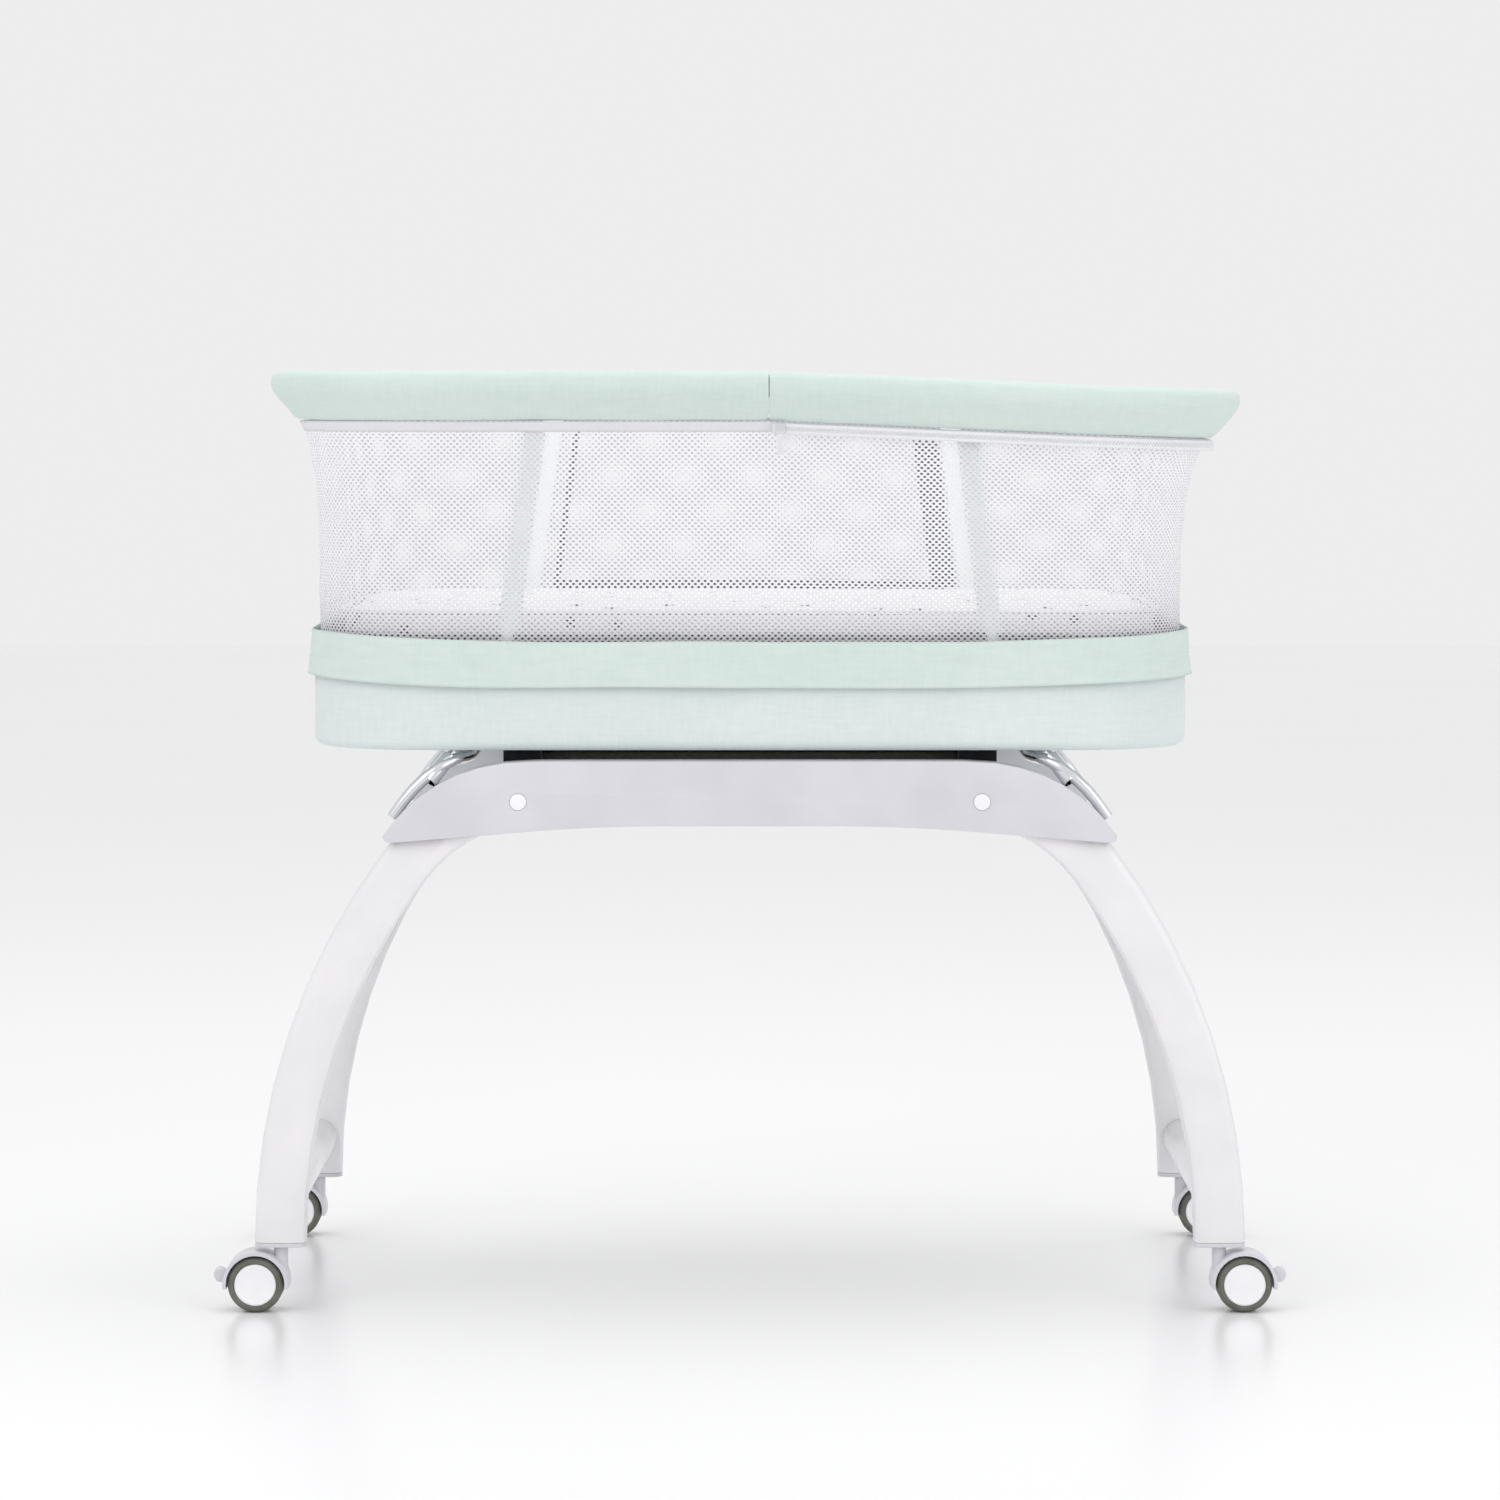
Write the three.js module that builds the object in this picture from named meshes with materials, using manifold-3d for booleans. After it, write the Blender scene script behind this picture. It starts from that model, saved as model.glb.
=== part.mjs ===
// A mesh-sided bassinet on a wheeled stand with four bowed legs.
// Millimetres, +Z up, +X towards the foot end, -Y towards the front.
// The origin is on the floor under the middle of the stand.
import * as THREE from "three";
import { mergeVertices } from "three/addons/utils/BufferGeometryUtils.js";
import Module from "manifold-3d";

const wasm = await Module();
wasm.setup();

// ---------------------------------------------------------------- driving sizes
const GAP = 0.3; // clearance between pieces that touch
const RUN = 0.8; // clearance round a piece that turns

const wheelRadius = 26.6;
const wheelWidth = 17;
const axleRadius = 4;
const casterFin = 7; // the web between the twin wheels
const casterTrail = 23.5; // stem axis to wheel axle
const hoodWall = 3.4;
const hoodMouth = 4; // the hood ends this far below the axle
const finRadius = 12; // the fin's boss round the axle
const neckRadius = 6.8;
const neckDrop = 12; // where the neck leaves the hood, above the axle
const stemRadius = 5.5;
const stemReach = 14; // how far the stem enters the leg
const brakeWidth = 16;
const brakeLength = 12;
const brakeRise = 8; // the lever's middle above the axle
const brakeSlot = [13, 8]; // its slot in the hood, below and above that middle

const stemX = 449; // middle of the stand to a leg's foot
const stemY = 255;
const plugThickness = 4;
const neckShow = 3.2; // the neck that shows between hood and plug
const hoodTopZ = 2 * wheelRadius + RUN * 2 + hoodWall;
const footZ = hoodTopZ + neckShow + plugThickness + GAP * 2; // where the leg tube starts
const legWidth = 49; // flat oval tube, seen from the front
const legDepth = 26;
const tubeWall = 1.6;
const legBow = 604; // radius of the long bow
const legBowTurn = 37;
const legShoulder = 160.6; // radius of the shoulder bend
const legShoulderTurn = 43;
const legTongue = 24; // straight end inside the beam

const crossBarRadius = 18.7;
const crossBarRise = 38; // cross bar axis above the foot of the legs

const beamHalf = 349;
const beamDepth = 38;
const beamWall = 2.5;
const legRise = 391; // the beam's tips above the foot of the legs
const beamHeight = 70.5;
const beamArch = 9; // its underside in the middle, above its tips
const beamTipZ = footZ + legRise;
const beamTopZ = beamTipZ + beamHeight;
const beamUnderZ = beamTipZ + beamArch;
const linerThickness = 5;
const capX = 220.5;
const capRise = 32;
const capZ = beamTipZ + capRise;
const capRadius = 8;
const capProud = 1.6;
const capSeat = 1.2; // how far a cap is let into the cover

const railX = 218;
const railWidth = 30;
const railHeight = 28;
const railDrop = 8.5; // the rails' top below the beams' top
const railTopZ = beamTopZ - railDrop;
const deckThickness = 12;
const saddleWidth = 36;
const saddleDepth = 40;
const saddleRibs = 5;

const hoopRadius = 6;
const hoopX = 268; // where a hoop crosses under the tray

const trayHalf = 422;
const trayHalfDepth = 262;
const trayCorner = 118;
const saddleHeight = 18; // rail to tray, with the clearances
const trayHeight = 99;
const trayUnderZ = railTopZ + saddleHeight;
const trayTopZ = trayUnderZ + trayHeight;
const trayEdge = 9;
const clothWall = 2.4;
const cuffDrop = 37; // how far the cuff hangs below the tray's top edge
const cuffLift = 9; // how far it rises round the two ends
const cuffRise = 5;
const cuffProud = 4;

const frameWire = 6; // radius of the base frame's wire
const boardThickness = 20;
const mattressHeight = 101;
const mattressClear = 19; // room for the posts beside the mattress

const netInset = 6; // net stands this far inside the tray's outer face
const netWall = 1.6;
const netFlare = 19;
const netHeight = 214;
const rimSeatZ = trayTopZ + netHeight; // where the net meets the rim
const rimTubeRadius = 8;
const rimTubeOut = 12;
const rimTubeUp = 33;
const rimWall = 2.2;
const seamX = 18; // the two rim halves meet here
const seamGap = 0.8;
const footDrop = 20; // how far the rim falls at the foot end
const footReach = 10; // how much farther the rim reaches there
const connectorLength = 30;
const connectorWall = 1.6;
const rimCore = rimTubeRadius + RUN + connectorWall; // the widest thing inside the rim
const rimPadTop = 3.6; // padding round it
const rimPadOut = 5.6;
const rimPadIn = 4.6;
const rimHeight = rimTubeUp + rimCore + rimPadTop;

const postRadius = 5;
const postClear = 2.5; // between a post and the net it holds out
const postFootX = 232;
const postHeadX = 203;
const tapeHeight = 9;
const tapeWall = 1.2;
const tapeClear = 1.78; // between the tape's low edge and the net
const sliderLength = 9;
const sliderHeight = 22;
const sliderDepth = 2.4;
const sliderStart = 6; // parked this far from the seam

// ---------------------------------------------------------------- finishes
function finish(color, roughness, metalness = 0) {
  return new THREE.MeshStandardMaterial({ color, roughness, metalness });
}
const WHITE_ABS = finish(0xe4e3e8, 0.35);
const WHITE_PAINT = finish(0xececee, 0.3, 0.1);
const CHROME = finish(0xd5d6da, 0.15, 0.9);
const BLACK_RUBBER = finish(0x17171a, 0.8);
const DARK_BOARD = finish(0x35332f, 0.75);
const GREY_TYRE = finish(0x6a6a66, 0.7);
const MINT_HEATHER = finish(0xd5dfdb, 0.9);
const MINT_PLAIN = finish(0xdde9e7, 0.9);
const WHITE_NET = finish(0xe9eef0, 0.9);
const WHITE_TAPE = finish(0xf2f2f2, 0.8);
const STEEL = finish(0x9a9ca0, 0.4, 0.8);
const PRINTED_SHEET = finish(0xf1ece9, 0.9);

// ---------------------------------------------------------------- solids
function toSolid(geometry) {
  const bare = geometry.clone();
  bare.deleteAttribute("normal");
  bare.deleteAttribute("uv");
  const merged = mergeVertices(bare, 1e-4);
  return new wasm.Manifold(new wasm.Mesh({
    numProp: 3,
    vertProperties: new Float32Array(merged.attributes.position.array),
    triVerts: new Uint32Array(merged.index.array),
  }));
}

function toGeometry(solid) {
  const mesh = solid.getMesh();
  const geometry = new THREE.BufferGeometry();
  geometry.setAttribute("position", new THREE.BufferAttribute(mesh.vertProperties, 3));
  geometry.setIndex(new THREE.BufferAttribute(mesh.triVerts, 1));
  return geometry;
}

function cut(geometry, ...tools) {
  return toGeometry(tools.reduce((rest, tool) => rest.subtract(toSolid(tool)), toSolid(geometry)));
}

function join(first, ...others) {
  return toGeometry(others.reduce((sum, other) => sum.add(toSolid(other)), toSolid(first)));
}

// A closed skin through rings of points; ringed skins join their last ring to the first.
function loft(rings, ringed = false) {
  const count = rings[0].length;
  const spans = ringed ? rings.length : rings.length - 1;
  const faces = [];
  for (let i = 0; i < spans; i += 1) {
    const low = i * count;
    const high = ((i + 1) % rings.length) * count;
    for (let j = 0; j < count; j += 1) {
      const k = (j + 1) % count;
      faces.push([low + j, low + k, high + k], [low + j, high + k, high + j]);
    }
  }
  if (!ringed) {
    const last = (rings.length - 1) * count;
    const cap = (ring) => THREE.ShapeUtils.triangulateShape(flatten(ring), []);
    cap(rings[0]).forEach(([a, b, c]) => faces.push([c, b, a]));
    cap(rings[rings.length - 1]).forEach(([a, b, c]) => faces.push([last + a, last + b, last + c]));
  }
  return facesOut(rings.flat(), faces);
}

// A tube wall between matching rings of its outer and inner skins, open at both ends.
function tubeLoft(outer, inner) {
  const count = outer[0].length;
  const last = outer.length - 1;
  const skin = outer.length * count;
  const faces = [];
  for (let j = 0; j < count; j += 1) {
    const k = (j + 1) % count;
    for (let i = 0; i < last; i += 1) {
      const [low, high] = [i * count, (i + 1) * count];
      faces.push([low + j, low + k, high + k], [low + j, high + k, high + j]);
      faces.push([skin + low + k, skin + low + j, skin + high + j]);
      faces.push([skin + high + k, skin + low + k, skin + high + j]);
    }
    const top = last * count;
    faces.push([k, j, skin + j], [k, skin + j, skin + k]);
    faces.push([top + j, top + k, skin + top + k], [top + j, skin + top + k, skin + top + j]);
  }
  return facesOut([...outer.flat(), ...inner.flat()], faces);
}

// A ring's points in the plane it lies in, turning anticlockwise.
function flatten(ring) {
  const normal = new THREE.Vector3();
  ring.forEach((point, i) => {
    const next = ring[(i + 1) % ring.length];
    normal.add(new THREE.Vector3().crossVectors(point, next));
  });
  normal.normalize();
  const u = new THREE.Vector3().subVectors(ring[1], ring[0]).normalize();
  const v = new THREE.Vector3().crossVectors(normal, u);
  return ring.map((point) => new THREE.Vector2(point.dot(u), point.dot(v)));
}

function facesOut(points, faces) {
  const volume = faces.reduce((sum, [a, b, c]) => {
    return sum + points[a].dot(new THREE.Vector3().crossVectors(points[b], points[c]));
  }, 0);
  const index = faces.flatMap(([a, b, c]) => (volume > 0 ? [a, b, c] : [a, c, b]));
  const geometry = new THREE.BufferGeometry().setFromPoints(points);
  geometry.setIndex(index);
  return geometry;
}

// ---------------------------------------------------------------- outlines and routes
// Walks a flat route of lines and arcs; each station holds its place and heading.
function route(x, y, heading, moves) {
  const stations = [{ x, y, heading }];
  let here = stations[0];
  for (const move of moves) {
    const turn = THREE.MathUtils.degToRad(move.turn ?? 0);
    const steps = move.steps ?? 1;
    for (let i = 0; i < steps; i += 1) {
      const bend = turn / steps;
      const chord = move.turn ? 2 * move.radius * Math.sin(Math.abs(bend) / 2) : move.length / steps;
      const way = here.heading + bend / 2;
      const x1 = here.x + chord * Math.cos(way);
      const y1 = here.y + chord * Math.sin(way);
      here = { x: x1, y: y1, heading: here.heading + bend };
      stations.push(here);
    }
  }
  return stations;
}

// A rounded rectangle as stations that run anticlockwise from the middle of its front side.
function roundedPlan(halfX, halfY, radius, cornerSteps = 6) {
  const corner = { turn: 90, radius, steps: cornerSteps };
  const long = { length: 2 * (halfX - radius), steps: 1 };
  const short = { length: 2 * (halfY - radius), steps: 1 };
  const half = { length: halfX - radius, steps: 1 };
  const loop = route(0, -halfY, 0, [half, corner, short, corner, long, corner, short, corner, half]);
  return loop.slice(0, -1);
}

// Points of a plan ring moved outwards and set at one height.
function planRing(stations, out, height) {
  return stations.map(({ x, y, heading }) => {
    return new THREE.Vector3(x + out * Math.sin(heading), y - out * Math.cos(heading), height(x));
  });
}
const level = (z) => () => z;

// A section's ring at one station of a flat route: u points outwards, v upwards.
function sectionRing({ x, y, heading }, section, lift = () => 0) {
  return section.map(([u, v]) => {
    return new THREE.Vector3(x + u * Math.sin(heading), y - u * Math.cos(heading), v - lift(x));
  });
}

function circle(radius, sides, u = 0, v = 0) {
  return Array.from({ length: sides }, (_, i) => {
    const angle = ((i + 0.5) / sides) * 2 * Math.PI;
    return [u + radius * Math.cos(angle), v + radius * Math.sin(angle)];
  });
}

// A rectangle with rounded corners, about its own middle.
function oval(width, depth, radius, cornerSteps = 2) {
  return roundedPlan(width / 2, depth / 2, radius, cornerSteps).map(({ x, y }) => [x, y]);
}

// Moves each side of a closed outline inwards by the same amount.
function inset(points, amount) {
  return points.map((point, i) => {
    const before = points[(i + points.length - 1) % points.length];
    const after = points[(i + 1) % points.length];
    const a = new THREE.Vector2(point[0] - before[0], point[1] - before[1]).normalize();
    const b = new THREE.Vector2(after[0] - point[0], after[1] - point[1]).normalize();
    const normal = new THREE.Vector2(-a.y - b.y, a.x + b.x).normalize();
    const reach = amount / Math.max(0.5, normal.dot(new THREE.Vector2(-a.y, a.x)));
    return [point[0] + normal.x * reach, point[1] + normal.y * reach];
  });
}

// A flat outline in X and Z, drawn out along Y.
function slab(outline, fromY, toY) {
  return loft([fromY, toY].map((y) => outline.map(([x, z]) => new THREE.Vector3(x, y, z))));
}

function box(x0, x1, y0, y1, z0, z1) {
  const block = new THREE.BoxGeometry(x1 - x0, y1 - y0, z1 - z0);
  return block.translate((x0 + x1) / 2, (y0 + y1) / 2, (z0 + z1) / 2);
}

function upright(radius, z0, z1, x, y, sides = 20) {
  const rod = new THREE.CylinderGeometry(radius, radius, z1 - z0, sides).rotateX(Math.PI / 2);
  return rod.translate(x, y, (z0 + z1) / 2);
}

function crosswise(radius, y0, y1, x, z, sides = 24) {
  return new THREE.CylinderGeometry(radius, radius, y1 - y0, sides).translate(x, (y0 + y1) / 2, z);
}

const bassinetOnStand = new THREE.Group();
function add(name, geometry, material) {
  const mesh = new THREE.Mesh(geometry, material);
  mesh.name = name;
  bassinetOnStand.add(mesh);
}

const SIDES = [["front", -1], ["rear", 1]];
const ENDS = [["left", -1], ["right", 1]];

// ---------------------------------------------------------------- stand
function legStations() {
  return route(-stemX, footZ, Math.PI / 2, [
    { turn: -legBowTurn, radius: legBow, steps: 8 },
    { turn: -legShoulderTurn, radius: legShoulder, steps: 6 },
    { length: legTongue },
  ]);
}

// The rings of a leg's skin; grow swells its section on every side.
function legRings(endX, sideY, grow) {
  const section = oval(legWidth + 2 * grow, legDepth + 2 * grow, legDepth / 2 - 4 + grow);
  return legStations().map(({ x, y, heading }) => section.map(([across, deep]) => {
    const along = { x: x - across * Math.sin(heading), z: y + across * Math.cos(heading) };
    return new THREE.Vector3(-endX * along.x, sideY * stemY + deep, along.z);
  }));
}

function makeLegs(side, sideY, end, endX) {
  const leg = tubeLoft(legRings(endX, sideY, 0), legRings(endX, sideY, -tubeWall));
  add(`${side}_${end}_leg`, leg, WHITE_PAINT);

  const x = endX * stemX;
  const y = sideY * stemY;
  const outline = oval(legWidth, legDepth, legDepth / 2 - 4);
  const plate = loft([footZ - GAP - plugThickness, footZ - GAP].map((z) => {
    return outline.map(([u, v]) => new THREE.Vector3(x + u, y + v, z));
  }));
  const collarTop = footZ + stemReach;
  const collar = upright(legDepth / 2 - tubeWall - 1, footZ - GAP - 1, collarTop, x, y);
  const socket = upright(stemRadius + RUN / 2, footZ - plugThickness - 2, collarTop + 1, x, y);
  add(`${side}_${end}_leg_plug`, cut(join(plate, collar), socket), WHITE_ABS);
}

function makeCrossBar(end, endX) {
  const half = stemY - legDepth / 2 - GAP;
  const z = footZ + crossBarRise;
  const x = endX * (legBow - stemX - Math.sqrt(legBow ** 2 - crossBarRise ** 2));
  const outer = crosswise(crossBarRadius, -half, half, -x, z);
  const bore = crosswise(crossBarRadius - tubeWall, -half - 1, half + 1, -x, z);
  add(`${end}_lower_cross_bar`, cut(outer, bore), WHITE_PAINT);
}

// The beam's outline: a low arch that sweeps down to a rounded tip at each end.
function beamOutline() {
  const shape = new THREE.Shape();
  const tipRise = 7; // height of the blunt tip
  const leanIn = beamHalf - 24;
  const crest = beamHalf - 64;
  const flat = beamHalf - 144; // where the top turns level
  shape.moveTo(-beamHalf + tipRise, beamTipZ - tipRise);
  shape.lineTo(-beamHalf * 0.7, beamUnderZ - 8);
  shape.quadraticCurveTo(-beamHalf * 0.45, beamUnderZ, -beamHalf * 0.25, beamUnderZ);
  shape.lineTo(beamHalf * 0.25, beamUnderZ);
  shape.quadraticCurveTo(beamHalf * 0.45, beamUnderZ, beamHalf * 0.7, beamUnderZ - 8);
  shape.lineTo(beamHalf - tipRise, beamTipZ - tipRise);
  shape.quadraticCurveTo(beamHalf, beamTipZ - tipRise, beamHalf, beamTipZ);
  const lift = beamTopZ - beamTipZ;
  shape.bezierCurveTo(leanIn, beamTipZ + lift * 0.47, crest, beamTopZ, flat, beamTopZ);
  shape.lineTo(-flat, beamTopZ);
  shape.bezierCurveTo(-crest, beamTopZ, -leanIn, beamTipZ + lift * 0.47, -beamHalf, beamTipZ);
  shape.quadraticCurveTo(-beamHalf, beamTipZ - tipRise, -beamHalf + tipRise, beamTipZ - tipRise);
  const points = shape.getPoints(8).map(({ x, y }) => [x, y]);
  return points.filter((point, i) => {
    const next = points[(i + 1) % points.length];
    return Math.hypot(point[0] - next[0], point[1] - next[1]) > 0.01;
  });
}

function makeBeam(side, sideY) {
  const faceY = sideY * (stemY + legDepth / 2 + GAP * 3 + beamWall + 5);
  const backY = faceY - sideY * beamDepth;
  const outline = beamOutline();
  const hollow = slab(inset(outline, beamWall), faceY - sideY * beamWall, backY - sideY);
  const mouths = ENDS.map(([, endX]) => {
    const reach = [endX * (beamHalf - 9), endX * beamHalf * 0.7].sort((a, b) => a - b);
    const span = [faceY - sideY * beamWall, backY - sideY].sort((a, b) => a - b);
    return box(...reach, ...span, beamTipZ - 20, beamUnderZ);
  });
  const passages = ENDS.map(([, endX]) => loft(legRings(endX, sideY, GAP)));
  const screws = ENDS.map(([, endX]) => {
    const span = [faceY - sideY * capSeat, faceY + sideY * 4].sort((a, b) => a - b);
    return crosswise(capRadius + GAP, ...span, endX * capX, capZ);
  });
  const cover = cut(slab(outline, faceY, backY), hollow, ...mouths, ...passages, ...screws);
  add(`${side}_beam_cover`, cover, WHITE_ABS);

  const linerY = [backY - sideY * GAP, backY - sideY * (GAP + linerThickness)];
  const liner = slab(inset(outline, beamWall / 2), ...linerY);
  add(`${side}_beam_liner`, cut(liner, ...passages), WHITE_ABS);

  for (const [end, endX] of ENDS) {
    const span = [faceY - sideY * (capSeat - GAP), faceY + sideY * capProud].sort((a, b) => a - b);
    const dome = new THREE.LatheGeometry([
      new THREE.Vector2(0, 0), new THREE.Vector2(capRadius, 0),
      new THREE.Vector2(capRadius, 1.4), new THREE.Vector2(capRadius - 1.5, span[1] - span[0]),
      new THREE.Vector2(0, span[1] - span[0]),
    ], 24);
    dome.rotateX(sideY < 0 ? Math.PI : 0);
    dome.translate(endX * capX, sideY < 0 ? span[1] : span[0], capZ);
    add(`${side}_${end}_screw_cap`, dome, WHITE_ABS);
  }
  return Math.abs(linerY[1]);
}

function makeRails(linerY) {
  const half = linerY - GAP;
  for (const [end, endX] of ENDS) {
    const x = endX * railX;
    const rail = box(x - railWidth / 2, x + railWidth / 2, -half, half, railTopZ - railHeight, railTopZ);
    const inner = railWidth / 2 - tubeWall;
    const bore = box(x - inner, x + inner, -half - 1, half + 1,
      railTopZ - railHeight + tubeWall, railTopZ - tubeWall);
    add(`${end}_upper_rail`, cut(rail, bore), STEEL);
    for (const [side, sideY] of SIDES) {
      add(`${side}_${end}_saddle`, saddle(x, sideY, half), BLACK_RUBBER);
    }
  }
  const deckHalfX = railX + railWidth / 2;
  const deckHalfY = half - saddleDepth - GAP * 2;
  add("stand_deck", box(-deckHalfX, deckHalfX, -deckHalfY, deckHalfY,
    railTopZ + GAP, railTopZ + GAP + deckThickness), DARK_BOARD);
}

// A ribbed rubber pad that the tray rests on.
function saddle(x, sideY, half) {
  const top = trayUnderZ - GAP;
  const base = railTopZ + GAP;
  const span = [sideY * half, sideY * (half - saddleDepth)].sort((a, b) => a - b);
  const block = box(x - saddleWidth / 2, x + saddleWidth / 2, ...span, base, top);
  const pitch = saddleWidth / saddleRibs;
  const grooves = Array.from({ length: saddleRibs - 1 }, (_, i) => {
    const middle = x - saddleWidth / 2 + (i + 1) * pitch;
    return box(middle - 1, middle + 1, span[0] - 1, span[1] + 1, top - 2.5, top + 1);
  });
  return cut(block, ...grooves);
}

// A bright tube that springs from both beam tips and crosses under the tray.
function makeHoop(end, endX) {
  const top = trayUnderZ - hoopRadius - 0.8;
  const tip = beamHalf - 8;
  const rise = top - beamTipZ - hoopRadius;
  const arm = [
    [tip, stemY, beamTipZ + hoopRadius + 10], [tip - 15, stemY, beamTipZ + rise * 0.55],
    [tip - 35, stemY - 1, beamTipZ + rise * 0.84], [tip - 56, stemY - 8, top - 3.5],
    [hoopX + 3, stemY - 26, top - 0.5], [hoopX, stemY - 60, top],
  ];
  const points = [
    ...arm.map(([x, y, z]) => new THREE.Vector3(endX * x, -y, z)),
    new THREE.Vector3(endX * hoopX, 0, top),
    ...arm.reverse().map(([x, y, z]) => new THREE.Vector3(endX * x, y, z)),
  ];
  const curve = new THREE.CatmullRomCurve3(points, false, "centripetal");
  const section = new THREE.Shape(circle(hoopRadius, 8).map(([u, v]) => new THREE.Vector2(u, v)));
  const tube = new THREE.ExtrudeGeometry(section, { steps: 40, extrudePath: curve, bevelEnabled: false });
  const keepOut = SIDES.map(([, sideY]) => beamKeepOut(sideY));
  add(`${end}_carrier_hoop`, cut(tube, ...keepOut), CHROME);
}

function beamKeepOut(sideY) {
  const faceY = sideY * (stemY + legDepth / 2 + GAP * 3 + beamWall + 6);
  const backY = sideY * (stemY - legDepth / 2 - 20);
  return slab(inset(beamOutline(), -GAP), faceY, backY);
}

// ---------------------------------------------------------------- casters
function makeCaster(side, sideY, end, endX) {
  const x = endX * stemX;
  const y = sideY * stemY;
  const axleX = endX * (stemX + casterTrail);
  const name = `${side}_${end}`;
  const half = casterFin / 2 + RUN + wheelWidth;
  const hoodRadius = wheelRadius + RUN * 2 + hoodWall;

  const drum = crosswise(hoodRadius, y - half, y + half, axleX, wheelRadius, 32);
  const reach = hoodRadius + RUN;
  const mouthZ = wheelRadius - hoodMouth;
  const under = box(axleX - reach, axleX + reach, y - half - 1, y + half + 1, -reach, mouthZ);
  const neckTop = footZ - GAP * 2 - plugThickness;
  const neck = upright(neckRadius, wheelRadius + neckDrop, neckTop, x, y);
  const stem = upright(stemRadius, neckTop - 2, footZ + stemReach - 1, x, y);
  const wells = [-1, 1].map((way) => {
    const span = [y + way * casterFin / 2, y + way * (half + 2)].sort((a, b) => a - b);
    return crosswise(wheelRadius + RUN * 2, ...span, axleX, wheelRadius, 32);
  });
  const axleHole = crosswise(axleRadius + RUN / 2, y - half, y + half, axleX, wheelRadius, 16);
  const fin = crosswise(finRadius, y - casterFin / 2, y + casterFin / 2, axleX, wheelRadius, 24);
  const shell = toGeometry(toSolid(drum).subtract(toSolid(under)).add(toSolid(fin)));
  const body = cut(join(shell, neck, stem), ...wells, axleHole);
  const slotHalf = (brakeWidth + RUN) / 2;
  const leverZ = wheelRadius + brakeRise;
  const slot = box(...brakeSpan(axleX, endX, RUN / 2), y - slotHalf, y + slotHalf,
    leverZ - brakeSlot[0], leverZ + brakeSlot[1]);
  add(`${name}_caster_body`, cut(body, slot), WHITE_ABS);

  const inner = casterFin / 2 + RUN;
  const outer = inner + wheelWidth;
  const rim = wheelRadius - 3;
  const profile = [
    [0, -outer], [rim - 4, -outer], [rim, -outer + 1], [wheelRadius, -outer + 4], [wheelRadius, -inner - 2],
    [rim, -inner], [axleRadius, -inner], [axleRadius, inner], [rim, inner], [wheelRadius, inner + 2],
    [wheelRadius, outer - 4], [rim, outer - 1], [rim - 4, outer], [0, outer],
  ].map(([r, along]) => new THREE.Vector2(r, along));
  const wheels = new THREE.LatheGeometry(profile, 28).translate(axleX, y, wheelRadius);
  add(`${name}_twin_wheels`, wheels, GREY_TYRE);

  const [b0, b1] = brakeSpan(axleX, endX, 0);
  const paddle = slab(brakeOutline(endX, endX > 0 ? b0 : b1), y - brakeWidth / 2, y + brakeWidth / 2);
  add(`${name}_brake_lever`, paddle, WHITE_ABS);
}

// The stretch of X that a brake lever takes up, just outside the hood's edge.
function brakeSpan(axleX, endX, grow) {
  const root = axleX + endX * (wheelRadius + RUN * 3);
  return [root - endX * grow, root + endX * brakeLength].sort((a, b) => a - b);
}

function brakeOutline(endX, rootX) {
  const z = wheelRadius + brakeRise;
  const points = [
    [0, -5], [5, -7], [brakeLength - 3, -6], [brakeLength, 0],
    [brakeLength - 2, 6], [5, 7], [0, 4],
  ];
  const outline = points.map(([out, up]) => [rootX + endX * out, z + up]);
  return endX > 0 ? outline : outline.reverse();
}

// ---------------------------------------------------------------- bassinet
const rimFall = (x) => Math.max(0, x - seamX) * (footDrop / (trayHalf + netFlare));

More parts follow.
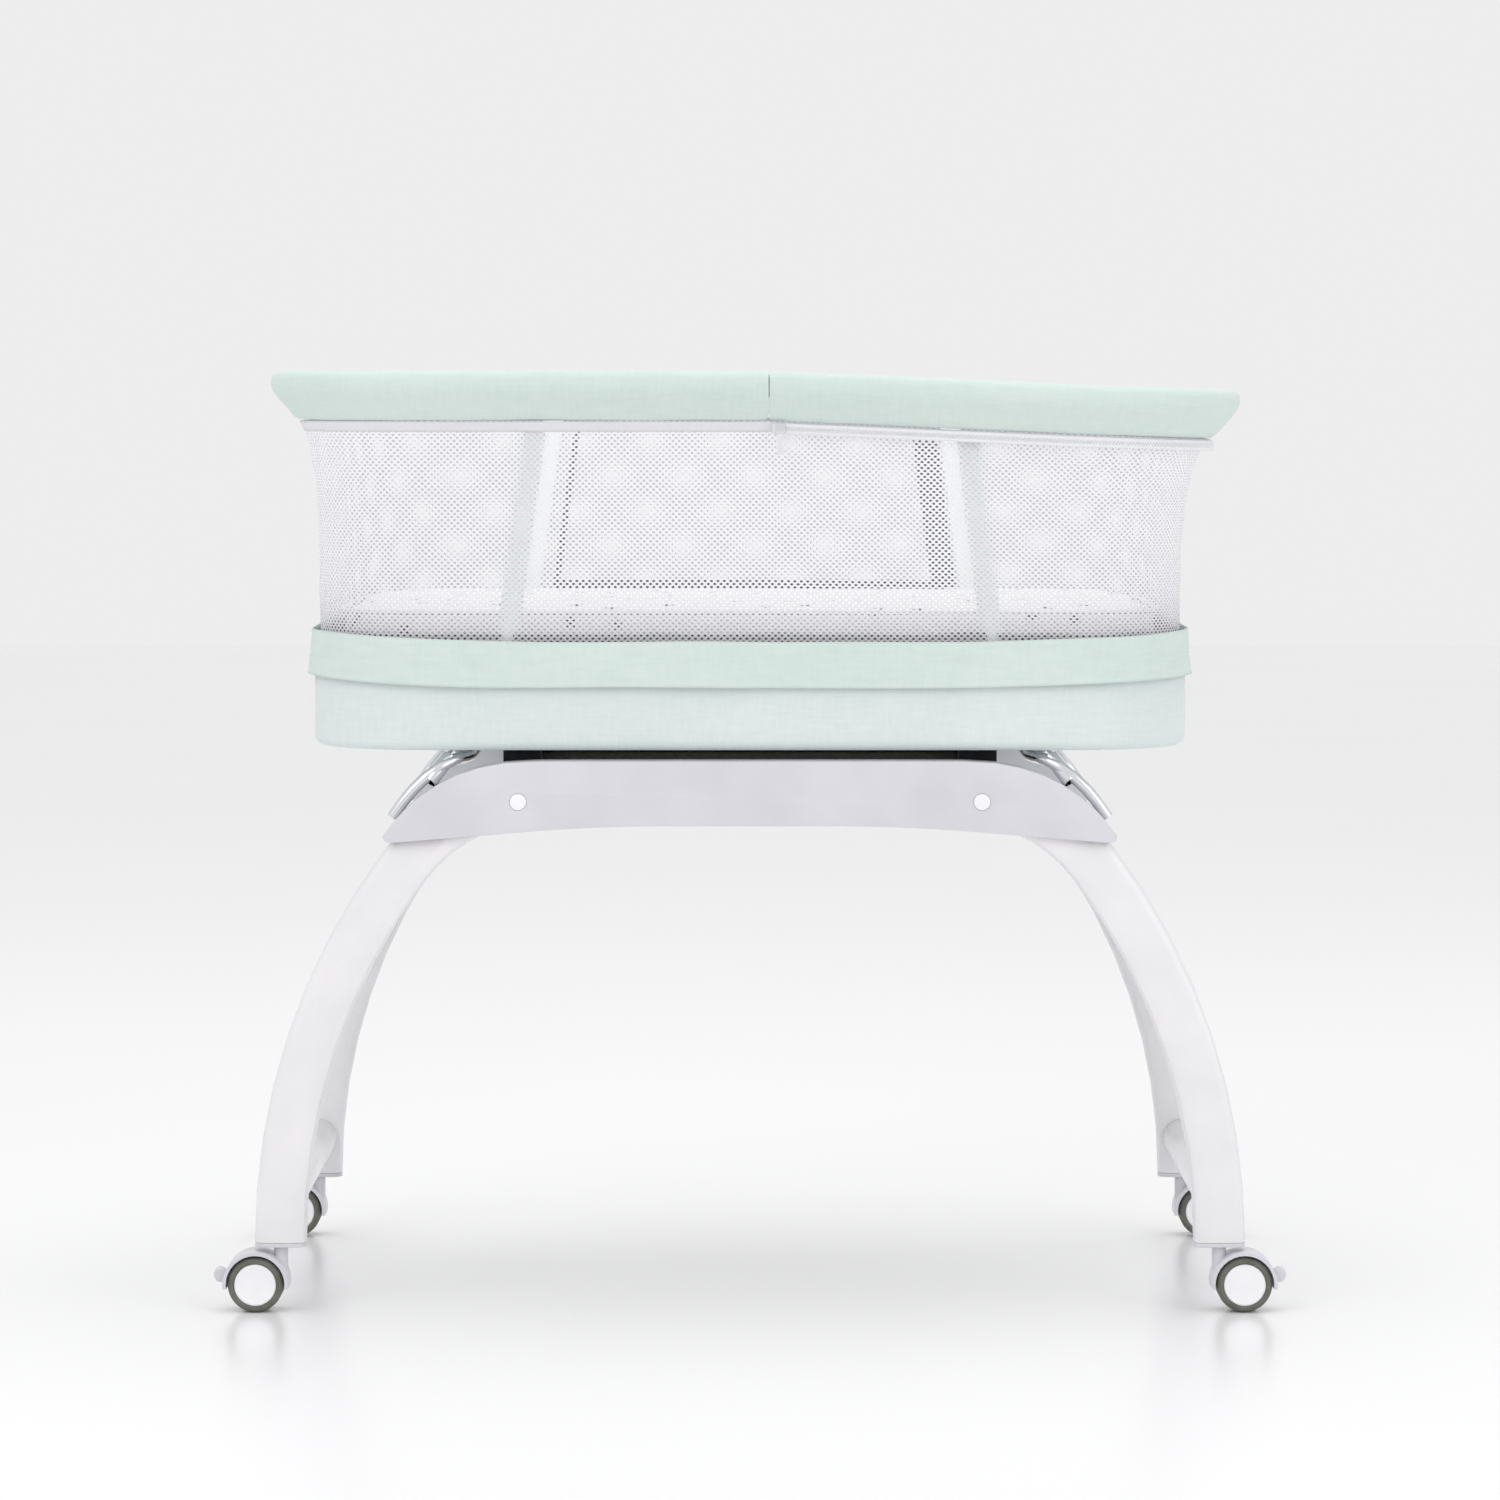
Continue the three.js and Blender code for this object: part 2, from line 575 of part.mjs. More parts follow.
function makeTray() {
  const plan = roundedPlan(trayHalf, trayHalfDepth, trayCorner);
  const inner = -clothWall;
  const rings = [
    planRing(plan, -trayEdge, level(trayUnderZ)),
    planRing(plan, -trayEdge * 0.3, level(trayUnderZ + trayEdge * 0.3)),
    planRing(plan, 0, level(trayUnderZ + trayEdge)),
    planRing(plan, 0, level(trayTopZ)),
    planRing(plan, inner, level(trayTopZ)),
    planRing(plan, inner, level(trayUnderZ + trayEdge)),
    planRing(plan, -trayEdge - clothWall, level(trayUnderZ + clothWall)),
  ];
  add("tray_cover", loft(rings), MINT_HEATHER);

  const low = trayTopZ - cuffDrop;
  const high = trayTopZ + cuffRise;
  const near = GAP * 2;
  const straight = trayHalf - trayCorner;
  const lifted = (z) => (x) => z + cuffLift * Math.max(0, Math.abs(x) - straight) / trayCorner;
  const cuffRings = [
    planRing(plan, cuffProud + 2, lifted(low)), planRing(plan, cuffProud + clothWall, lifted(low + 12)),
    planRing(plan, near + clothWall, lifted(high)), planRing(plan, near, lifted(high)),
    planRing(plan, near, lifted(low + 12)), planRing(plan, cuffProud - clothWall, lifted(low)),
  ];
  add("tray_cuff", loft(cuffRings, true), MINT_PLAIN);

  const wireZ = trayUnderZ + clothWall + GAP + frameWire;
  const wireOut = -trayEdge - clothWall - frameWire;
  const wire = circle(frameWire, 8, wireOut, wireZ);
  add("base_frame", loft(plan.map((station) => sectionRing(station, wire)), true), STEEL);

  const boardZ = wireZ + frameWire + GAP;
  const fitted = -clothWall - mattressClear;
  add("support_board", loft([boardZ, boardZ + boardThickness].map((z) => {
    return planRing(plan, fitted, level(z));
  })), DARK_BOARD);

  const bedZ = boardZ + boardThickness + GAP;
  const crown = 6;
  add("mattress", loft([
    planRing(plan, fitted - crown, level(bedZ)), planRing(plan, fitted, level(bedZ + crown)),
    planRing(plan, fitted, level(bedZ + mattressHeight - crown)),
    planRing(plan, fitted - crown, level(bedZ + mattressHeight)),
  ]), PRINTED_SHEET);
}

// The net leans out as it nears the rim: pairs of height share and flare share.
const NET_LINE = [[0, 0], [0.45, 0.05], [0.72, 0.21], [0.88, 0.5], [0.95, 0.72], [1, 1]];

// The share of its flare that the net has at a share of its height.
function flareAt(share) {
  const next = Math.max(1, NET_LINE.findIndex(([height]) => height >= share));
  const [[h0, f0], [h1, f1]] = [NET_LINE[next - 1], NET_LINE[next]];
  return f0 + (f1 - f0) * (share - h0) / (h1 - h0);
}

// Draws a piece out towards the foot end, more so the farther the net leans at its height.
function drawnOut(geometry) {
  const places = geometry.attributes.position;
  const foot = trayTopZ + GAP;
  for (let i = 0; i < places.count; i += 1) {
    const x = places.getX(i);
    const share = Math.min(1, (places.getZ(i) - foot) / (rimSeatZ - rimFall(x) - foot));
    const pull = Math.max(0, x - seamX) / (trayHalf + netFlare - seamX);
    places.setX(i, x + footReach * flareAt(share) * pull);
  }
  return geometry;
}

function netPoint(share, flare, x) {
  const foot = trayTopZ + GAP;
  return { out: netFlare * flare, z: foot + (rimSeatZ - rimFall(x) - foot) * share };
}

function netPanel(stations, sunk = 0) {
  return loft(stations.map(({ x, y, heading }) => {
    const side = (wall) => NET_LINE.map(([share, flare]) => {
      const { out, z } = netPoint(share, flare, x);
      const reach = out - sunk - wall;
      return new THREE.Vector3(x + reach * Math.sin(heading), y - reach * Math.cos(heading), z);
    });
    return [...side(0), ...side(netWall).reverse()];
  }));
}

const netHalf = trayHalf - netInset;
const netHalfDepth = trayHalfDepth - netInset;
const netCorner = trayCorner - netInset;

// Stations round one end of a plan, from the front join to the rear join.
function endStations(halfX, halfY, radius, joinX, endX, cornerSteps = 7) {
  const straight = halfX - radius - endX * joinX;
  const moves = [
    { length: straight, steps: 2 }, { turn: 90, radius, steps: cornerSteps },
    { length: 2 * (halfY - radius) }, { turn: 90, radius, steps: cornerSteps },
    { length: straight, steps: 2 },
  ];
  const round = route(endX * joinX, -halfY, 0, moves);
  if (endX > 0) return round;
  return round.map(({ x, y, heading }) => ({ x: -x, y, heading: -heading })).reverse();
}

function makeNets() {
  const cutX = (postFootX + postHeadX) / 2;
  const reach = cutX - GAP;
  for (const [side, sideY] of SIDES) {
    const line = [-1, -0.5, seamX / reach, 0.5, 1].map((share) => ({
      x: share * reach * -sideY, y: sideY * netHalfDepth, heading: sideY < 0 ? 0 : Math.PI,
    }));
    add(`${side}_net`, drawnOut(netPanel(line)), WHITE_NET);
  }
  for (const [name, endX] of [["head", -1], ["foot", 1]]) {
    const stations = endStations(netHalf, netHalfDepth, netCorner, endX * (cutX + GAP), endX);
    add(`${name}_net`, drawnOut(netPanel(stations)), WHITE_NET);
  }
}

function makePosts() {
  const sunk = netWall + postClear + postRadius;
  for (const [side, sideY] of SIDES) {
    for (const [end, endX] of ENDS) {
      const rings = NET_LINE.map(([share, flare]) => {
        const x = endX * (postFootX + (postHeadX - postFootX) * share);
        const { out, z } = netPoint(share, flare, x);
        return circle(postRadius, 10).map(([u, v]) => {
          return new THREE.Vector3(x + u, sideY * (netHalfDepth + out - sunk) + v, z - (share === 1 ? 4 : 0));
        });
      });
      add(`${side}_${end}_post`, drawnOut(loft(rings)), MINT_PLAIN);
    }
  }
}

// The rim cover's section, outwards from the net's top edge and up from its seat.
const rimOuter = rimTubeOut + rimCore + rimPadOut;
const rimInner = rimTubeOut - rimCore - rimPadIn;
const RIM_SECTION = [
  [rimInner, 2], [3, 0.5], [rimOuter - 2.5, 27], [rimOuter, 34], [rimOuter - 0.5, 41],
  [rimOuter - 6, rimHeight], [3, rimHeight], [rimInner, rimHeight - 5],
];

function makeRim() {
  const halfX = netHalf + netFlare;
  const halfY = netHalfDepth + netFlare;
  const corner = netCorner + netFlare;
  const seat = rimSeatZ + GAP * 2;
  const raised = RIM_SECTION.map(([u, v]) => [u, v + seat]);
  const hollow = inset(raised, rimWall);
  const tube = circle(rimTubeRadius, 8, rimTubeOut, seat + rimTubeUp);
  const bore = circle(rimTubeRadius - tubeWall, 8, rimTubeOut, seat + rimTubeUp);
  for (const [name, endX] of [["head", -1], ["foot", 1]]) {
    const stations = endStations(halfX, halfY, corner, seamX + endX * seamGap, endX);
    const rings = (section) => stations.map((station) => sectionRing(station, section, rimFall));
    add(`${name}_rim_cover`, drawnOut(tubeLoft(rings(raised), rings(hollow))), MINT_PLAIN);
    add(`${name}_rim_tube`, drawnOut(tubeLoft(rings(tube), rings(bore))), STEEL);
  }
  for (const [side, sideY] of SIDES) {
    const y = sideY * (halfY + rimTubeOut);
    const sleeve = (radius, length) => {
      const rod = new THREE.CylinderGeometry(radius, radius, length, 16).rotateZ(Math.PI / 2);
      return rod.translate(seamX, y, seat + rimTubeUp);
    };
    add(`${side}_rim_connector`, cut(sleeve(rimCore, connectorLength),
      sleeve(rimTubeRadius + RUN, connectorLength + 2)), WHITE_ABS);
  }
}

// A flat tape that follows the rim's foot just outside the net.
function tapeStrip(stations) {
  return loft(stations.map(({ x, y, heading }) => {
    const top = rimSeatZ - rimFall(x) - 1;
    const near = netFlare + 0.8;
    const low = top - tapeHeight;
    const lean = flareAt(1 - (tapeHeight + 1) / (netHeight - GAP));
    const tuck = netFlare * lean + tapeClear;
    const points = [[tuck, low], [tuck + tapeWall, low], [near + tapeWall, top], [near, top]];
    return points.map(([u, z]) => new THREE.Vector3(x + u * Math.sin(heading), y - u * Math.cos(heading), z));
  }));
}

function makeTapes() {
  const straight = netHalf - netCorner;
  const corner = { turn: 90, radius: netCorner, steps: 7 };
  const zip = route(seamX + 2, -netHalfDepth, 0, [{ length: straight - seamX - 2, steps: 3 }, corner]);
  add("zip_tape", drawnOut(tapeStrip(zip)), WHITE_TAPE);

  const y = -(netHalfDepth + netFlare + tapeWall + sliderDepth);
  const start = seamX + sliderStart;
  const end = start + sliderLength;
  const foot = rimSeatZ - tapeHeight;
  const body = box(start, end, y - sliderDepth, y, foot - 2, rimSeatZ - 1.5);
  const pull = box(start + 2, end - 2, y - 2, y - 0.4, foot - sliderHeight, foot - 1);
  add("zip_slider", join(body, pull), CHROME);
}

// ---------------------------------------------------------------- assembly
let linerY = 0;
for (const [side, sideY] of SIDES) {
  linerY = makeBeam(side, sideY);
  for (const [end, endX] of ENDS) {
    makeLegs(side, sideY, end, endX);
    makeCaster(side, sideY, end, endX);
  }
}
for (const [end, endX] of ENDS) {
  makeCrossBar(end, endX);
  makeHoop(end, endX);
}
makeRails(linerY);
makeTray();
makeNets();
makePosts();
makeRim();
makeTapes();

export default bassinetOnStand;
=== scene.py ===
"""A mesh-sided bassinet on its wheeled stand: fabric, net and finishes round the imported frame."""
import math

import bmesh
import bpy
import numpy as np
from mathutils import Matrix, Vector, noise


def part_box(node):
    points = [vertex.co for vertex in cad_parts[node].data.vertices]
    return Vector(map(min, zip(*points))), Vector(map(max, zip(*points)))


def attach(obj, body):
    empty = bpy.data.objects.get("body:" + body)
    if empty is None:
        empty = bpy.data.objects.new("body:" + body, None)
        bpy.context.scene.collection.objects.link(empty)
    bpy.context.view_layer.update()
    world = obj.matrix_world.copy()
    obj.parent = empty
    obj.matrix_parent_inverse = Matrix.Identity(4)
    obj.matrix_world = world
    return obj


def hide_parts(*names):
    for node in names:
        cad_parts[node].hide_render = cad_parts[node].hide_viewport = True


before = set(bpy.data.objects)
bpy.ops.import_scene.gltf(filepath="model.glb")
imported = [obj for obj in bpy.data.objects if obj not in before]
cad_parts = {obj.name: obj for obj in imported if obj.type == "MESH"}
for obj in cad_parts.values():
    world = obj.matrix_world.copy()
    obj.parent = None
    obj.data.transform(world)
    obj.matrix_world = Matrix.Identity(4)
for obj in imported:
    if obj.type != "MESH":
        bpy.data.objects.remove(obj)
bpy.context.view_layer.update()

MM = 0.001
SIDES = (("front", -1), ("rear", 1))
ENDS = (("left", -1), ("right", 1))

# ------------------------------------------------------------------ camera
EYE_HEIGHT = 0.894
EYE_DISTANCE = 6.02
EYE_PITCH = 3.54  # degrees down
LENS = 145.5


def make_camera():
    data = bpy.data.cameras.new("camera")
    data.lens = LENS
    data.sensor_width = 36
    eye = bpy.data.objects.new("camera", data)
    eye.location = (0, -EYE_DISTANCE, EYE_HEIGHT)
    eye.rotation_euler = (math.radians(90 - EYE_PITCH), 0, 0)
    bpy.context.scene.collection.objects.link(eye)
    bpy.context.scene.camera = eye


make_camera()

# ------------------------------------------------------------------ materials


def linear(hex_code):
    """An sRGB hex colour as linear RGBA."""
    parts = [int(hex_code[i:i + 2], 16) / 255 for i in (1, 3, 5)]
    return [c / 12.92 if c <= 0.04045 else ((c + 0.055) / 1.055) ** 2.4 for c in parts] + [1.0]


def add_node(tree, kind, settings=(), links=()):
    """Adds a node; settings are attributes or input values, links are (input, source socket)."""
    made = tree.nodes.new(kind)
    for name, value in dict(settings).items():
        if isinstance(name, str) and hasattr(made, name):
            setattr(made, name, value)
        else:
            made.inputs[name].default_value = value
    for name, source in links:
        tree.links.new(source, made.inputs[name])
    return made


def new_material(name, roughness, **values):
    """A principled material, with its tree and shader."""
    material = bpy.data.materials.new(name)
    material.use_nodes = True
    shader = material.node_tree.nodes["Principled BSDF"]
    shader.inputs["Roughness"].default_value = roughness
    for key, value in values.items():
        shader.inputs[key.replace("_", " ")].default_value = value
    return material, material.node_tree, shader


def set_colour(tree, shader, dark, light, factor):
    """Drives the base colour between two hex values."""
    mix = add_node(tree, "ShaderNodeMix", {"data_type": "RGBA", 6: linear(dark), 7: linear(light)},
                   [(0, factor)])
    tree.links.new(mix.outputs[2], shader.inputs["Base Color"])


def set_bump(tree, shader, height, strength, depth_mm):
    bump = add_node(tree, "ShaderNodeBump", {"Strength": strength, "Distance": depth_mm * MM},
                    [("Height", height)])
    tree.links.new(bump.outputs[0], shader.inputs["Normal"])


def speckle(tree, spacing_mm, source, detail=3, stretch=(1, 1, 1)):
    """Noise whose grains are about spacing_mm apart, over a coordinate in metres."""
    scaled = add_node(tree, "ShaderNodeMapping", {"Scale": stretch}, [("Vector", source)])
    return add_node(tree, "ShaderNodeTexNoise", {"Scale": 1 / (spacing_mm * MM), "Detail": detail},
                    [("Vector", scaled.outputs[0])])


def place(tree, which="Object"):
    return add_node(tree, "ShaderNodeTexCoord").outputs[which]


def spread_range(tree, value, low, high, to_low=0.0, to_high=1.0):
    return add_node(tree, "ShaderNodeMapRange", {1: low, 2: high, 3: to_low, 4: to_high},
                    [(0, value)]).outputs[0]


def moulded_abs(name, dark, light, roughness=0.34):
    """Injection-moulded ABS: a satin skin with the faint ripple of the tool."""
    material, tree, shader = new_material(name, roughness, IOR=1.53)
    where = place(tree)
    cloud = speckle(tree, 90, where, detail=2)
    set_colour(tree, shader, dark, light, spread_range(tree, cloud.outputs[0], 0.35, 0.65))
    grain = speckle(tree, 1.4, where, detail=2)
    set_bump(tree, shader, grain.outputs[0], 0.12, 0.08)
    uneven = spread_range(tree, cloud.outputs[0], 0.3, 0.7, roughness - 0.04, roughness + 0.05)
    tree.links.new(uneven, shader.inputs["Roughness"])
    return material


def powder_coat(name, dark, light):
    """Powder-coated steel tube: a gloss skin with a fine orange peel."""
    material, tree, shader = new_material(name, 0.27, IOR=1.5, Coat_Weight=0.25,
                                          Coat_Roughness=0.12)
    where = place(tree)
    cloud = speckle(tree, 70, where, detail=2)
    set_colour(tree, shader, dark, light, spread_range(tree, cloud.outputs[0], 0.35, 0.65))
    peel = speckle(tree, 2.6, where, detail=1)
    set_bump(tree, shader, peel.outputs[0], 0.10, 0.15)
    return material


def plated_steel(name, tint, roughness):
    """Bright nickel-plated steel: sharp reflections with faint polishing streaks."""
    material, tree, shader = new_material(name, roughness, Metallic=1.0)
    shader.inputs["Base Color"].default_value = linear(tint)
    streak = speckle(tree, 5, place(tree), detail=4, stretch=(4, 0.3, 4))
    rough = spread_range(tree, streak.outputs[0], 0.3, 0.7, roughness * 0.6, roughness * 1.6)
    tree.links.new(rough, shader.inputs["Roughness"])
    set_bump(tree, shader, streak.outputs[0], 0.05, 0.1)
    return material


def soft_rubber(name, dark, light, roughness, grain_mm):
    """Moulded soft rubber: matt and faintly pebbled, dusty where it wears."""
    material, tree, shader = new_material(name, roughness, IOR=1.52, Specular_IOR_Level=0.35)
    where = place(tree)
    dust = speckle(tree, 14, where, detail=5)
    set_colour(tree, shader, dark, light, spread_range(tree, dust.outputs[0], 0.35, 0.7))
    set_bump(tree, shader, speckle(tree, grain_mm, where).outputs[0], 0.3, 0.2)
    return material


def pressed_board(name, dark, light):
    """Painted particle board: flat and dull, with the chips just telling through."""
    material, tree, shader = new_material(name, 0.7)
    chips = add_node(tree, "ShaderNodeTexVoronoi", {"Scale": 1 / (4 * MM)},
                     [("Vector", place(tree))])
    set_colour(tree, shader, dark, light, chips.outputs["Distance"])
    set_bump(tree, shader, chips.outputs["Distance"], 0.25, 0.2)
    return material


# Real threads are about 0.4 mm apart; they are drawn this coarse so that the weave shows.
WEAVE_MM = 2.0


def weave_height(tree, uv, pitch_mm):
    """Over-and-under ribs of a plain weave, from 0 to 1."""
    parts = add_node(tree, "ShaderNodeSeparateXYZ", links=[(0, uv)])
    ribs = []
    for axis in (0, 1):
        turns = add_node(tree, "ShaderNodeMath",
                         {"operation": "MULTIPLY", 1: 2 * math.pi / (pitch_mm * MM)},
                         [(0, parts.outputs[axis])])
        ribs.append(add_node(tree, "ShaderNodeMath", {"operation": "SINE"},
                             [(0, turns.outputs[0])]))
    crossed = add_node(tree, "ShaderNodeMath", {"operation": "MULTIPLY"},
                       [(0, ribs[0].outputs[0]), (1, ribs[1].outputs[0])])
    return spread_range(tree, crossed.outputs[0], -1, 1)


def woven_polyester(name, dark, light, slub=0.35, sheen=0.25):
    """Plain-woven polyester: a dry surface, fine ribs, and slubs of lighter and darker yarn."""
    material, tree, shader = new_material(name, 0.82, Sheen_Weight=sheen, Sheen_Roughness=0.5,
                                          Specular_IOR_Level=0.3)
    uv = place(tree, "UV")
    weave = weave_height(tree, uv, WEAVE_MM)
    weft = speckle(tree, 3, uv, detail=2, stretch=(0.12, 1, 1))
    warp = speckle(tree, 3, uv, detail=2, stretch=(1, 0.12, 1))
    yarn = add_node(tree, "ShaderNodeMath", {"operation": "ADD"},
                    [(0, weft.outputs[0]), (1, warp.outputs[0])])
    patch = speckle(tree, 160, uv, detail=2)
    yarn_part = spread_range(tree, yarn.outputs[0], 0.7, 1.3, 0.5 - slub, 0.5 + slub)
    total = add_node(tree, "ShaderNodeMath", {"operation": "ADD"},
                     [(0, yarn_part),
                      (1, spread_range(tree, patch.outputs[0], 0.3, 0.7, -0.15, 0.15))])
    rib = add_node(tree, "ShaderNodeMath", {"operation": "MULTIPLY_ADD", 1: 0.18},
                   [(0, weave), (2, total.outputs[0])])
    set_colour(tree, shader, dark, light, rib.outputs[0])
    set_bump(tree, shader, weave, 0.35, 0.35)
    return material


# The net's holes: their spacing along a row, the rows' spacing, and the hole's size.
HOLE_PITCH_MM = 6.1
HOLE_ROW_MM = 2.95
HOLE_WIDE_MM = 2.7
HOLE_TALL_MM = 2.0


def knitted_net(name, inside, outside):
    """Warp-knitted net: thin white yarn that glows with light behind it, painted a darker grey on its
    inner face as painted shade, round staggered oval holes that are really open."""
    material, tree, shader = new_material(name, 0.75, Sheen_Weight=0.2, Specular_IOR_Level=0.3)
    parts = add_node(tree, "ShaderNodeSeparateXYZ", links=[(0, place(tree, "UV"))])
    row = add_node(tree, "ShaderNodeMath", {"operation": "DIVIDE", 1: HOLE_ROW_MM * MM},
                   [(0, parts.outputs[1])])
    odd = add_node(tree, "ShaderNodeMath", {"operation": "PINGPONG", 1: 1.0},
                   [(0,
                     add_node(tree, "ShaderNodeMath", {"operation": "FLOOR"},
                              [(0, row.outputs[0])]).outputs[0])])
    step = add_node(tree, "ShaderNodeMath", {"operation": "DIVIDE", 1: HOLE_PITCH_MM * MM},
                    [(0, parts.outputs[0])])
    shifted = add_node(tree, "ShaderNodeMath", {"operation": "MULTIPLY_ADD", 1: 0.5},
                       [(0, odd.outputs[0]), (2, step.outputs[0])])
    squares = []
    for source, pitch, width in ((shifted, HOLE_PITCH_MM, HOLE_WIDE_MM),
                                 (row, HOLE_ROW_MM, HOLE_TALL_MM)):
        part = add_node(tree, "ShaderNodeMath", {"operation": "FRACT"}, [(0, source.outputs[0])])
        centred = add_node(tree, "ShaderNodeMath",
                           {"operation": "MULTIPLY_ADD", 1: 2 * pitch / width, 2: -pitch / width},
                           [(0, part.outputs[0])])
        squares.append(add_node(tree, "ShaderNodeMath", {"operation": "POWER", 1: 2.0},
                                [(0, add_node(
            tree, "ShaderNodeMath", {"operation": "ABSOLUTE"},
            [(0, centred.outputs[0])]).outputs[0])]))
    oval = add_node(tree, "ShaderNodeMath", {"operation": "ADD"},
                    [(0, squares[0].outputs[0]), (1, squares[1].outputs[0])])
    solid = spread_range(tree, oval.outputs[0], 0.85, 1.15)
    thick = spread_range(tree, oval.outputs[0], 0.95, 2.0)
    # Back faces take the darker inside colour: painted shade for the net's shadowed inner face.
    painted_shade_backfacing = add_node(tree, "ShaderNodeNewGeometry").outputs["Backfacing"]
    set_colour(tree, shader, outside, inside, painted_shade_backfacing)
    set_bump(tree, shader, thick, 0.5, 0.5)
    glow = add_node(tree, "ShaderNodeBsdfTranslucent", {"Color": linear(outside)})
    yarn = add_node(tree, "ShaderNodeMixShader", {0: 0.4},
                    [(1, shader.outputs[0]), (2, glow.outputs[0])])
    clear = add_node(tree, "ShaderNodeBsdfTransparent")
    mix = add_node(tree, "ShaderNodeMixShader",
                   links=[(0, solid), (1, clear.outputs[0]), (2, yarn.outputs[0])])
    tree.links.new(mix.outputs[0], tree.nodes["Material Output"].inputs[0])
    return material


STAR_SPACING_MM = 50
STAR_RADIUS_MM = 7


def printed_cotton(name, ground, shade, ink):
    """Cotton with small printed stars, turned this way and that, over a fine weave."""
    material, tree, shader = new_material(name, 0.85, Sheen_Weight=0.15, Specular_IOR_Level=0.25)
    where = place(tree)
    parts = add_node(tree, "ShaderNodeSeparateXYZ", links=[(0, where)])
    up = add_node(tree, "ShaderNodeMath", {"operation": "ADD"},
                  [(0, parts.outputs[1]), (1, parts.outputs[2])])
    unfolded = add_node(tree, "ShaderNodeCombineXYZ",
                        links=[(0, parts.outputs[0]), (1, up.outputs[0])])
    scale = 1 / (STAR_SPACING_MM * MM)
    cells = add_node(tree, "ShaderNodeTexVoronoi",
                     {"voronoi_dimensions": "2D", "Scale": scale, "Randomness": 0.75},
                     [("Vector", unfolded.outputs[0])])
    off = add_node(tree, "ShaderNodeVectorMath", {"operation": "SUBTRACT"},
                   [(0, unfolded.outputs[0]), (1, cells.outputs["Position"])])
    sides = add_node(tree, "ShaderNodeSeparateXYZ", links=[(0, off.outputs[0])])
    angle = add_node(tree, "ShaderNodeMath", {"operation": "ARCTAN2"},
                     [(0, sides.outputs[1]), (1, sides.outputs[0])])
    turned = add_node(tree, "ShaderNodeMath", {"operation": "MULTIPLY_ADD", 1: 5.0},
                      [(0, angle.outputs[0]),
                       (2, spread_range(tree, cells.outputs["Color"], 0, 1, 0, 6.28))])
    points = add_node(tree, "ShaderNodeMath", {"operation": "COSINE"}, [(0, turned.outputs[0])])
    reach = spread_range(tree, points.outputs[0], -1, 1, 0.42 * STAR_RADIUS_MM * MM,
                         STAR_RADIUS_MM * MM)
    far = add_node(tree, "ShaderNodeVectorMath", {"operation": "LENGTH"}, [(0, off.outputs[0])])
    inside = add_node(tree, "ShaderNodeMath", {"operation": "LESS_THAN"},
                      [(0, far.outputs["Value"]), (1, reach)])
    fibres = speckle(tree, 1.8, where, detail=3)
    cloth = add_node(tree, "ShaderNodeMix",
                     {"data_type": "RGBA", 6: linear(shade), 7: linear(ground)},
                     [(0, spread_range(tree, fibres.outputs[0], 0.3, 0.7))])
    stars = add_node(tree, "ShaderNodeMix", {"data_type": "RGBA", 7: linear(ink)},
                     [(0, inside.outputs[0]), (6, cloth.outputs[2])])
    tree.links.new(stars.outputs[2], shader.inputs["Base Color"])
    set_bump(tree, shader, fibres.outputs[0], 0.3, 0.3)
    return material


WHITE_ABS = moulded_abs("moulded_white_abs", "#d3d2d8", "#dbdae0")
HUB_ABS = moulded_abs("moulded_hub_abs", "#f3f3f6", "#f8f8fb", 0.28)
WHITE_TUBE = powder_coat("powder_coated_white", "#e9e8eb", "#efedf0")
BRIGHT_TUBE = plated_steel("plated_bright_tube", "#e3e4e8", 0.13)
PLAIN_STEEL = plated_steel("plain_steel", "#8f8b84", 0.34)
BLACK_RUBBER = soft_rubber("moulded_black_rubber", "#0c0c0e", "#1d1d20", 0.75, 2)
GREY_TREAD = soft_rubber("moulded_grey_tread", "#626259", "#74746c", 0.6, 1.2)
DARK_BOARD = pressed_board("painted_dark_board", "#2b2925", "#3b3832")
HEATHERED_MINT = woven_polyester("woven_heathered_mint", "#d2dddb", "#e3ebea", slub=0.22,
                                 sheen=0.15)
PLAIN_MINT = woven_polyester("woven_plain_mint", "#cbdbd5", "#dae6e1", slub=0.2, sheen=0.15)
# The post sleeves' mint, drawn paler than the mint fabric as painted light, offsetting the shade they sit
# in behind the net.
PAINTED_LIGHT_MINT = woven_polyester("woven_mint_sleeve_painted_light", "#edf8f3", "#f8fdfb", slub=0.15, sheen=0.3)
WHITE_TAPE = woven_polyester("woven_white_tape", "#e6e6ea", "#f4f4f6", slub=0.2)
HEM_TAPE = woven_polyester("woven_hem_tape", "#dcdbe0", "#e6e5ea", slub=0.2, sheen=0.1)
# A dark grey cloth used only as painted shadow: strips round the rear net window and inside the net's foot.
PAINTED_SHADOW_GREY = woven_polyester("woven_painted_shadow_grey", "#4a4a50", "#5c5c63", slub=0.3)
# a6a6ab is painted shade on the net's inner face; #f8f7fb is the yarn's own white.
WHITE_NET = knitted_net("knitted_white_net", "#a6a6ab", "#f8f7fb")
STAR_COTTON = printed_cotton("printed_star_cotton", "#ffffff", "#fdfbfc", "#76717f")

# ------------------------------------------------------------------ mesh tools


def new_piece(name, points, faces, material, smooth=True, uvs=None):
    mesh = bpy.data.meshes.new(name)
    mesh.from_pydata([tuple(p) for p in points], [], faces)
    if uvs is not None:
        layer = mesh.uv_layers.new(name="UVMap")
        for loop in mesh.loops:
            layer.data[loop.index].uv = uvs[loop.vertex_index]
    mesh.materials.append(material)
    piece = bpy.data.objects.new(name, mesh)
    bpy.context.scene.collection.objects.link(piece)
    if smooth:
        mesh.shade_smooth()
    return piece


